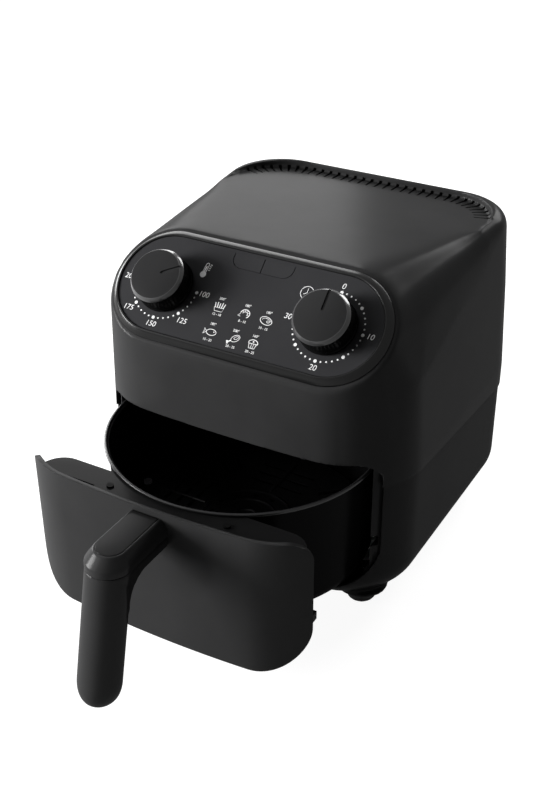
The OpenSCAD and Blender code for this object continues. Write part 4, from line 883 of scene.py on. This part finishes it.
def front_at(x):
    """Depth of the front face at x, and the outward normal there in plan."""
    side = 1 if x >= 0 else -1
    a = abs(x)
    if a <= BOW_R * sin(radians(BOW_ANGLE)):
        y = BOW_Y - sqrt(BOW_R ** 2 - a * a)
        n = Vector((a, y - BOW_Y)).normalized()
    else:
        y = CORNER_Y - sqrt(max(FRONT_R ** 2 - (a - CORNER_X) ** 2, 0))
        n = Vector((a - CORNER_X, y - CORNER_Y)).normalized()
    return y, Vector((side * n.x, n.y))


SKIN_GAP, SKIN_T, SKIN_ROWS = 0.8, 3.0, 40


def drawer_skin():
    """The bowed front, from columns of points that fill the opening's outline."""
    hw, z0, z1 = OPEN_HALF_W - SKIN_GAP, OPEN_Z0 + SKIN_GAP, OPEN_Z1 - SKIN_GAP
    r0, r1 = OPEN_R0 - SKIN_GAP, OPEN_R1 - SKIN_GAP
    xs = [hw - r0 + r0 * sin(radians(a)) for a in range(0, 91, 3)]
    xs += [hw - r1 + r1 * sin(radians(a)) for a in range(0, 91, 5)]
    xs = sorted(set(round(x, 3) for x in xs))
    xs = [-x for x in reversed(xs)] + [-(hw - r0) + 2 * (hw - r0) * i / 40 for i in range(1, 40)] + xs
    rings = []
    for x in xs:
        a = abs(x)
        low = z0 + r0 - sqrt(max(r0 * r0 - max(a - hw + r0, 0) ** 2, 0))
        top = z1 - r1 + sqrt(max(r1 * r1 - max(a - hw + r1, 0) ** 2, 0))
        y, n = front_at(x)
        heights = [low + (top - low) * j / SKIN_ROWS for j in range(SKIN_ROWS + 1)]
        rings.append([(x, y, z) for z in heights]
                     + [(x - n.x * SKIN_T, y - n.y * SKIN_T, z) for z in reversed(heights)])
    return bevelled(loft(rings), 0.7, 3, 50)


piece("drawer_skin", drawer_skin(), "drawer", "front_plastic", ["drawer_front"])

# Bracket behind the skin: a flat ledge, a hollow groove up to the skin, and walls down to the bottom
BRACKET_Z, RIDGE_Y = 111.0, -105.5
GROOVE_R, GROOVE_OUT, GROOVE_IN, GROOVE_HALF_W = 11.0, 3.6, 14.5, 91.0    # OUT and IN: behind the front face
BRACKET_HW, BRACKET_BACK, BRACKET_R = 97.4, -83.5, 16.0
BRACKET_SCREW_X, BRACKET_SCREW_Y, BRACKET_SCREW_R = 43.4, -98.1, 1.55
SLOT_X, SLOT_HALF_L, SLOT_Y0, SLOT_Y1 = 65, 12, -102.6, -101.1


def bracket_block(inset, z0, z1):
    """The ledge's outline with straight walls, cut back to the skin in front and to the pan behind."""
    hw, back, r = BRACKET_HW - inset, BRACKET_BACK - inset, BRACKET_R - inset
    outline = ([(-hw, -125), (hw, -125)] + arc(hw - r, back - r, r, 0, 90, 10)
               + arc(-hw + r, back - r, r, 90, 180, 10))
    out = boolean(prism(outline, z0, z1), [prism(plan(SKIN_T + 0.05 + inset), z0 - 5, z1 + 5)], "INTERSECT")
    return boolean(out, [cylinder(0, PAN_Y, PAN_R + 0.6 + inset, z0 - 5, z1 + 5, 256)])


def bracket_ramp():
    """The groove: from the top of the skin down a round hollow to the ledge, ring by ring along the front."""
    rings = []
    for i in range(-72, 73):
        x = i * GROOVE_HALF_W / 72
        y, n = front_at(x)
        deepest = min(GROOVE_IN, (RIDGE_Y - y) / -n.y)
        if deepest < GROOVE_OUT + 0.15:
            continue
        last = acos((GROOVE_IN - deepest) / GROOVE_R) if deepest > GROOVE_IN - GROOVE_R else 0
        first = acos(min((GROOVE_IN - GROOVE_OUT) / GROOVE_R, 1))
        ring = [(3.1, BRACKET_Z - 1.2), (3.1, BRACKET_Z + 9.9), (GROOVE_OUT, BRACKET_Z + 9.9)]
        for k in range(14):
            a = first + (last - first) * k / 13
            ring.append((GROOVE_IN - GROOVE_R * cos(a), BRACKET_Z + GROOVE_R - GROOVE_R * sin(a)))
        ring.append((deepest, BRACKET_Z - 1.2))
        rings.append([(x - n.x * d, y - n.y * d, z) for d, z in ring])
    return loft(rings)


bracket = boolean(bracket_block(0, 32, BRACKET_Z), [bracket_block(2.2, 20, BRACKET_Z - 2.4)])
bracket = boolean(bracket, [mouth(2.6, -200, -60)], "INTERSECT")
bracket = boolean(bracket, [bracket_ramp()], "UNION")
holes = [cylinder(s * BRACKET_SCREW_X, BRACKET_SCREW_Y, BRACKET_SCREW_R, 100, 120, 32) for s in (-1, 1)]
holes += [block(x - SLOT_HALF_L, x + SLOT_HALF_L, SLOT_Y0, SLOT_Y1, 100, 120) for x in (-SLOT_X, SLOT_X)]
bracket = boolean(bracket, holes)
interlock_finger = block(95, 101.3, -96, -89.3, 57, 63)
bracket = boolean(bracket, [interlock_finger], "UNION")
# The ledge takes the darker copy of the front plastic: painted shade
piece("drawer_bracket_top", bracket, "drawer", "front_plastic", ["drawer_bracket"], sharp=34,
      look="bracket_plastic_painted_shade")

# Pan, turned from one profile: its bottom, top, lower edge's radius, wall, and the bead of its rim
PAN_Z0, PAN_TOP, PAN_EDGE, PAN_T, BEAD = 24.0, 113.5, 12.0, 1.2, 1.2
PAN_TAPER = 3.5
low_r = PAN_R - PAN_TAPER
bead_z = PAN_TOP - BEAD
profile = [(0, PAN_Z0)] + arc(low_r - PAN_EDGE, PAN_Z0 + PAN_EDGE, PAN_EDGE, -90, 0, 14)
profile += [(PAN_R, bead_z - 2.2), (PAN_R + 0.35, bead_z - 1.2)]
profile += arc(PAN_R + BEAD, bead_z, BEAD, -110, 180, 14)[1:]
profile += [(PAN_R - PAN_T + 0.25, bead_z - 0.6), (PAN_R - PAN_T, bead_z - 2.2)]
profile += arc(low_r - PAN_EDGE, PAN_Z0 + PAN_EDGE, PAN_EDGE - PAN_T, 0, -90, 14) + [(0, PAN_Z0 + PAN_T)]
# Above this height the rim takes the lighter copy of the coating: a painted highlight
PAN_RIM_HIGHLIGHT_Z = PAN_TOP - 2.3
piece("pan_body", lathe(profile, 256, offset(0, PAN_Y, 0)), "drawer", "pan_coating", ["pan"],
      extra=(("pan_rim_painted_highlight",), lambda centre: 1 if centre.z > PAN_RIM_HIGHLIGHT_Z else 0))

# Crisper plate: pressed rings and ribs, slots, and a turned-down edge
CRISPER_Z = 42.0
crisper_box = node_box("crisper_plate")
CRISPER_R = (crisper_box[1].x - crisper_box[0].x) / 2
surface = [(0, 0)]
for ring in (8.0, 20.5, 31.0):
    surface += [(ring + off, z) for off, z in ((-2.2, 0), (-1.3, 0.15), (-0.7, 0.65), (0, 0.9), (0.7, 0.65),
                                               (1.3, 0.15), (2.2, 0))]
surface += [(CRISPER_R - 1.6, 0), (CRISPER_R - 0.6, -0.3), (CRISPER_R - 0.05, -1.1), (CRISPER_R - 0.05, -5)]
under = [(CRISPER_R - 1.2, -5), (CRISPER_R - 1.2, -1.2), (0, -1.2)]
crisper = lathe([(r, CRISPER_Z + z) for r, z in surface + under], 256)
RIB_X0, RIB_X1 = 34, CRISPER_R - 14.8
rib = loft([[(x, y * w, CRISPER_Z + z) for x, y in ((RIB_X0, -1), (RIB_X1, -1), (RIB_X1, 1), (RIB_X0, 1))]
            for z, w in ((-0.4, 1.6), (0.5, 1.4), (1.0, 0.8))])
ribs = [shifted(rib, rotation(radians(90 * a))) for a in range(4)]
crisper = boolean(crisper, ribs, "UNION")


def slot_tool(x0, x1, y0, y1, turn=0):
    """A slot with round ends through the plate, turned about the middle."""
    r = min(x1 - x0, y1 - y0) / 2 - 0.01
    outline = (arc(x1 - r, y0 + r, r, -90, 0, 5) + arc(x1 - r, y1 - r, r, 0, 90, 5)
               + arc(x0 + r, y1 - r, r, 90, 180, 5) + arc(x0 + r, y0 + r, r, 180, 270, 5))
    return prism(outline, CRISPER_Z - 4, CRISPER_Z + 4, rotation(radians(turn)))


def posts(radius, first, post_r, z0, z1):
    """Four round bars about the middle, the first at an angle in degrees."""
    return [cylinder(radius * cos(radians(a)), radius * sin(radians(a)), post_r, z0, z1, 32)
            for a in range(first, 360, 90)]


SLOT_HALF_W = 1.4
AIR_HOLE_AT, AIR_HOLE_R = 25.75, 1.8
LEG_AT, LEG_R, LEG_Z = 48, 2.5, 25.5
BUMPER_AT, BUMPER_SEAT_R = node_box("crisper_bumpers")[1].x - 3.0, 3.02
slots = []
for row in (CRISPER_R - 24.3, CRISPER_R - 34.3, CRISPER_R - 44.3):
    for s in (-1, 1):
        near, far = s * row - SLOT_HALF_W, s * row + SLOT_HALF_W
        slots += [slot_tool(2, 21, near, far), slot_tool(-21, -2, near, far)]
        slots += [slot_tool(near, far, v - 4.6, v + 4.6) for v in (-18, -6, 6, 18)]
for a in range(45, 360, 90):
    slots += [slot_tool(CRISPER_R - 30.8, CRISPER_R - 12.8, d - SLOT_HALF_W, d + SLOT_HALF_W, a)
              for d in (-11, 0, 11)]
air_hole = cylinder(AIR_HOLE_AT, 0, AIR_HOLE_R, CRISPER_Z - 4, CRISPER_Z + 4, 24)
slots += [shifted(air_hole, rotation(radians(a))) for a in range(15, 360, 30)]
crisper = boolean(crisper, slots)
crisper = boolean(crisper, posts(LEG_AT, 45, LEG_R, LEG_Z, CRISPER_Z - 1), "UNION")
crisper = boolean(crisper, posts(BUMPER_AT, 0, BUMPER_SEAT_R, 30, 60))
# The plate takes the lighter copy of the pan coating: painted light
piece("crisper_tray", crisper, "crisper", "pan_coating", ["crisper_plate"], look="crisper_coating_painted_light")


# ---------- handle ----------

# The arm meets the grip at ARM_SEAM; the bar under it ends at ARM_UNDER
ARM_HALF, ARM_TIP, ARM_SEAM, ARM_UNDER = 15.0, -FRONT - 53.5, 107.5, 100.5
CAP_HALF, CAP_TIP = 9.2, -FRONT - 45.3
ROOT_Y = -FRONT - 0.05


def arm_ring(half, tip, z, root=ROOT_Y):
    """The U of the arm at one height: round tip, straight sides, flat root."""
    sides = [(half, root), (half, root - 12), (half, root - 24)]
    outline = [(-x, y) for x, y in sides] + arc(0, tip + half, half, 180, 360, 36) + list(reversed(sides))
    return [(x, y, z) for x, y in outline]


# (half width, how far the tip is drawn in, height)
arm_levels = [(14.7, 0.3, 107.7), (14.92, 0.08, 107.85), (15.0, 0, 108.2), (15.0, 0, 111.4),
              (14.9, 0.15, 112.1), (14.6, 0.5, 112.8), (11.3, 6.0, 118.0), (11.0, 6.35, 118.45),
              (10.6, 6.85, 118.8), (10.1, 7.4, 118.97), (9.7, 7.8, 119.0), (9.4, 8.0, 118.95),
              (9.4, 8.0, 118.1)]
arm = loft([arm_ring(half, ARM_TIP + push, z) for half, push, z in arm_levels])
piece("handle_arm_top", arm, "drawer", "handle_plastic", ["handle_arm"], sharp=40)
cap = loft([arm_ring(CAP_HALF - k, CAP_TIP + k, z, ROOT_Y - 1)
            for k, z in ((0, 118.15), (0, 118.95), (0.08, 119.15), (0.3, 119.27), (0.6, 119.3))])
piece("handle_cap_strip", cap, "drawer", "cap_plastic", ["handle_cap"], sharp=40)

# The grip leans back as it goes down, and an arch of ARCH_R joins it to the bar
LEAN = tan(radians(13.5))
GRIP_T, GRIP_BACK_R, GRIP_LOW = 18.5, 4.0, 18.0
GRIP_END_H, GRIP_END_IN = 16, 10.0    # how far up its round end goes, and how far in
ARCH_R = 20


def grip_ring(z, inset):
    """The grip's section at one height: round front, nearly square back."""
    y0 = ARM_TIP - (ARM_SEAM - z) * LEAN
    front = arc(0, ARM_HALF, ARM_HALF - inset, 180, 360, 32)
    corner = max(GRIP_BACK_R - inset, 0.8)
    k = ARM_HALF - inset - corner
    b = max(GRIP_T - inset - corner, ARM_HALF + 0.2)
    back = arc(k, b, corner, 0, 90, 8) + arc(-k, b, corner, 90, 180, 8)
    return [(x, y0 + y, z) for x, y in front + back]


levels = []
for i in range(12):
    t = radians(90 * i / 11)
    levels.append((GRIP_LOW + GRIP_END_H * (1 - cos(t)), GRIP_END_IN * (1 - sin(t))))
grip = loft([grip_ring(z, inset) for z, inset in levels] + [grip_ring(60, 0), grip_ring(ARM_SEAM - 0.2, 0)])
arm_back = ARM_TIP + GRIP_T
arch_z = ARM_UNDER - ARCH_R
arch_y = arm_back - (ARM_SEAM - arch_z) * LEAN + ARCH_R
bar = block(-ARM_HALF, ARM_HALF, arm_back - 6, ROOT_Y, ARM_UNDER, ARM_SEAM - 0.2)
web = block(-ARM_HALF, ARM_HALF, arm_back - 10, arch_y, arch_z, ARM_UNDER + 0.5)
grip = boolean(grip, [bar, web], "UNION")
arch = shifted(cylinder(0, 0, ARCH_R, -60, 60, 96), offset(0, arch_y, arch_z) @ rotation(pi / 2, "Y"))
grip = softened(boolean(grip, [arch]), voxel=0.8, rounds=6)
piece("handle_grip_body", grip, "drawer", "handle_plastic", ["handle_grip"])


# ---------- camera, floor and light ----------

# The photograph's view, in metres and degrees
CAMERA_AT = (0.36313, -0.68980, 0.56225)
CAMERA_AZIMUTH, CAMERA_ELEVATION, CAMERA_ROLL = 30.08, 31.30, -0.47

camera_data = bpy.data.cameras.new("camera")
camera_data.sensor_fit = "VERTICAL"
camera_data.sensor_height = 36.0
camera_data.lens = 55.24
camera = new_object("camera", camera_data)
camera.matrix_world = (offset(*CAMERA_AT) @ rotation(radians(CAMERA_AZIMUTH))
                       @ rotation(radians(90 - CAMERA_ELEVATION), "X") @ rotation(radians(CAMERA_ROLL)))
bpy.context.scene.camera = camera


def lamp(name, place, aim, width, height, power):
    data = bpy.data.lights.new(name, "AREA")
    data.shape = "RECTANGLE"
    data.size, data.size_y = width, height
    data.energy = power
    direction = Vector(aim) - Vector(place)
    turned = direction.to_track_quat("-Z", "Y").to_matrix().to_4x4()
    new_object(name, data).matrix_world = offset(*place) @ turned


# Soft boxes, mostly at the left and behind: the right side stays dark, as in the photograph
lamp("back_left", (-0.99, 1.05, 0.78), (0, 0, 0.2), 1.1, 0.9, 24)
lamp("left_back", (-1.2, 0.2, 0.3), (0, -0.1, 0.12), 0.5, 0.5, 18)
lamp("left_low", (-1.1, -0.75, 0.35), (0, -0.1, 0.12), 0.5, 0.5, 34)
lamp("left_front", (-1.1, -1.3, 0.9), (0, 0, 0.12), 0.8, 0.8, 7)
lamp("over_left", (-0.7, -0.3, 1.5), (0, 0, 0.12), 0.7, 0.7, 3)
lamp("back", (0.25, 1.5, 0.85), (0, 0, 0.15), 0.8, 0.6, 22)


def white_for_view(tree):
    """1 where the camera, or a glossy or clear surface, sees this material; 0 elsewhere."""
    path = add(tree, "LightPath")
    either = add(tree, "Math", {0: path.outputs["Is Camera Ray"], 1: path.outputs["Is Glossy Ray"]},
                 operation="MAXIMUM")
    return add(tree, "Math", {0: either.outputs[0], 1: path.outputs["Is Transmission Ray"]},
               operation="MAXIMUM").outputs[0]


WORLD_FILL = 0.05     # light of the surround on the object; what is seen of it is white
FLOOR_GREY = 0.25     # throws little light back; FLOOR_GLOW makes it look white
FLOOR_GLOW = 0.93
FLOOR_HALF = 9

world = bpy.data.worlds.new("studio")
bpy.context.scene.world = world
world.use_nodes = True
tree = world.node_tree
background = tree.nodes["Background"]
tree.links.new(ramp(tree, white_for_view(tree), WORLD_FILL, 1.0, 0.0, 1.0), background.inputs["Strength"])
background.inputs["Color"].default_value = (1, 1, 1, 1)

floor_mesh = make([(x * FLOOR_HALF, y * FLOOR_HALF, 0) for x, y in ((-1, -1), (1, -1), (1, 1), (-1, 1))],
                  [(0, 1, 2, 3)])
floor = new_object("floor", floor_mesh)
floor_white, tree = new_material("floor_white")
shader = tree.nodes["Principled BSDF"]
for key, value in (("Base Color", (FLOOR_GREY, FLOOR_GREY, FLOOR_GREY, 1)), ("Roughness", 0.9),
                   ("Specular IOR Level", 0.0), ("Emission Color", (1, 1, 1, 1))):
    shader.inputs[key].default_value = value
glow = add(tree, "Math", {0: white_for_view(tree), 1: FLOOR_GLOW}, operation="MULTIPLY")
tree.links.new(glow.outputs[0], shader.inputs["Emission Strength"])
floor_mesh.materials.append(floor_white)

bpy.context.scene.view_settings.view_transform = "Standard"
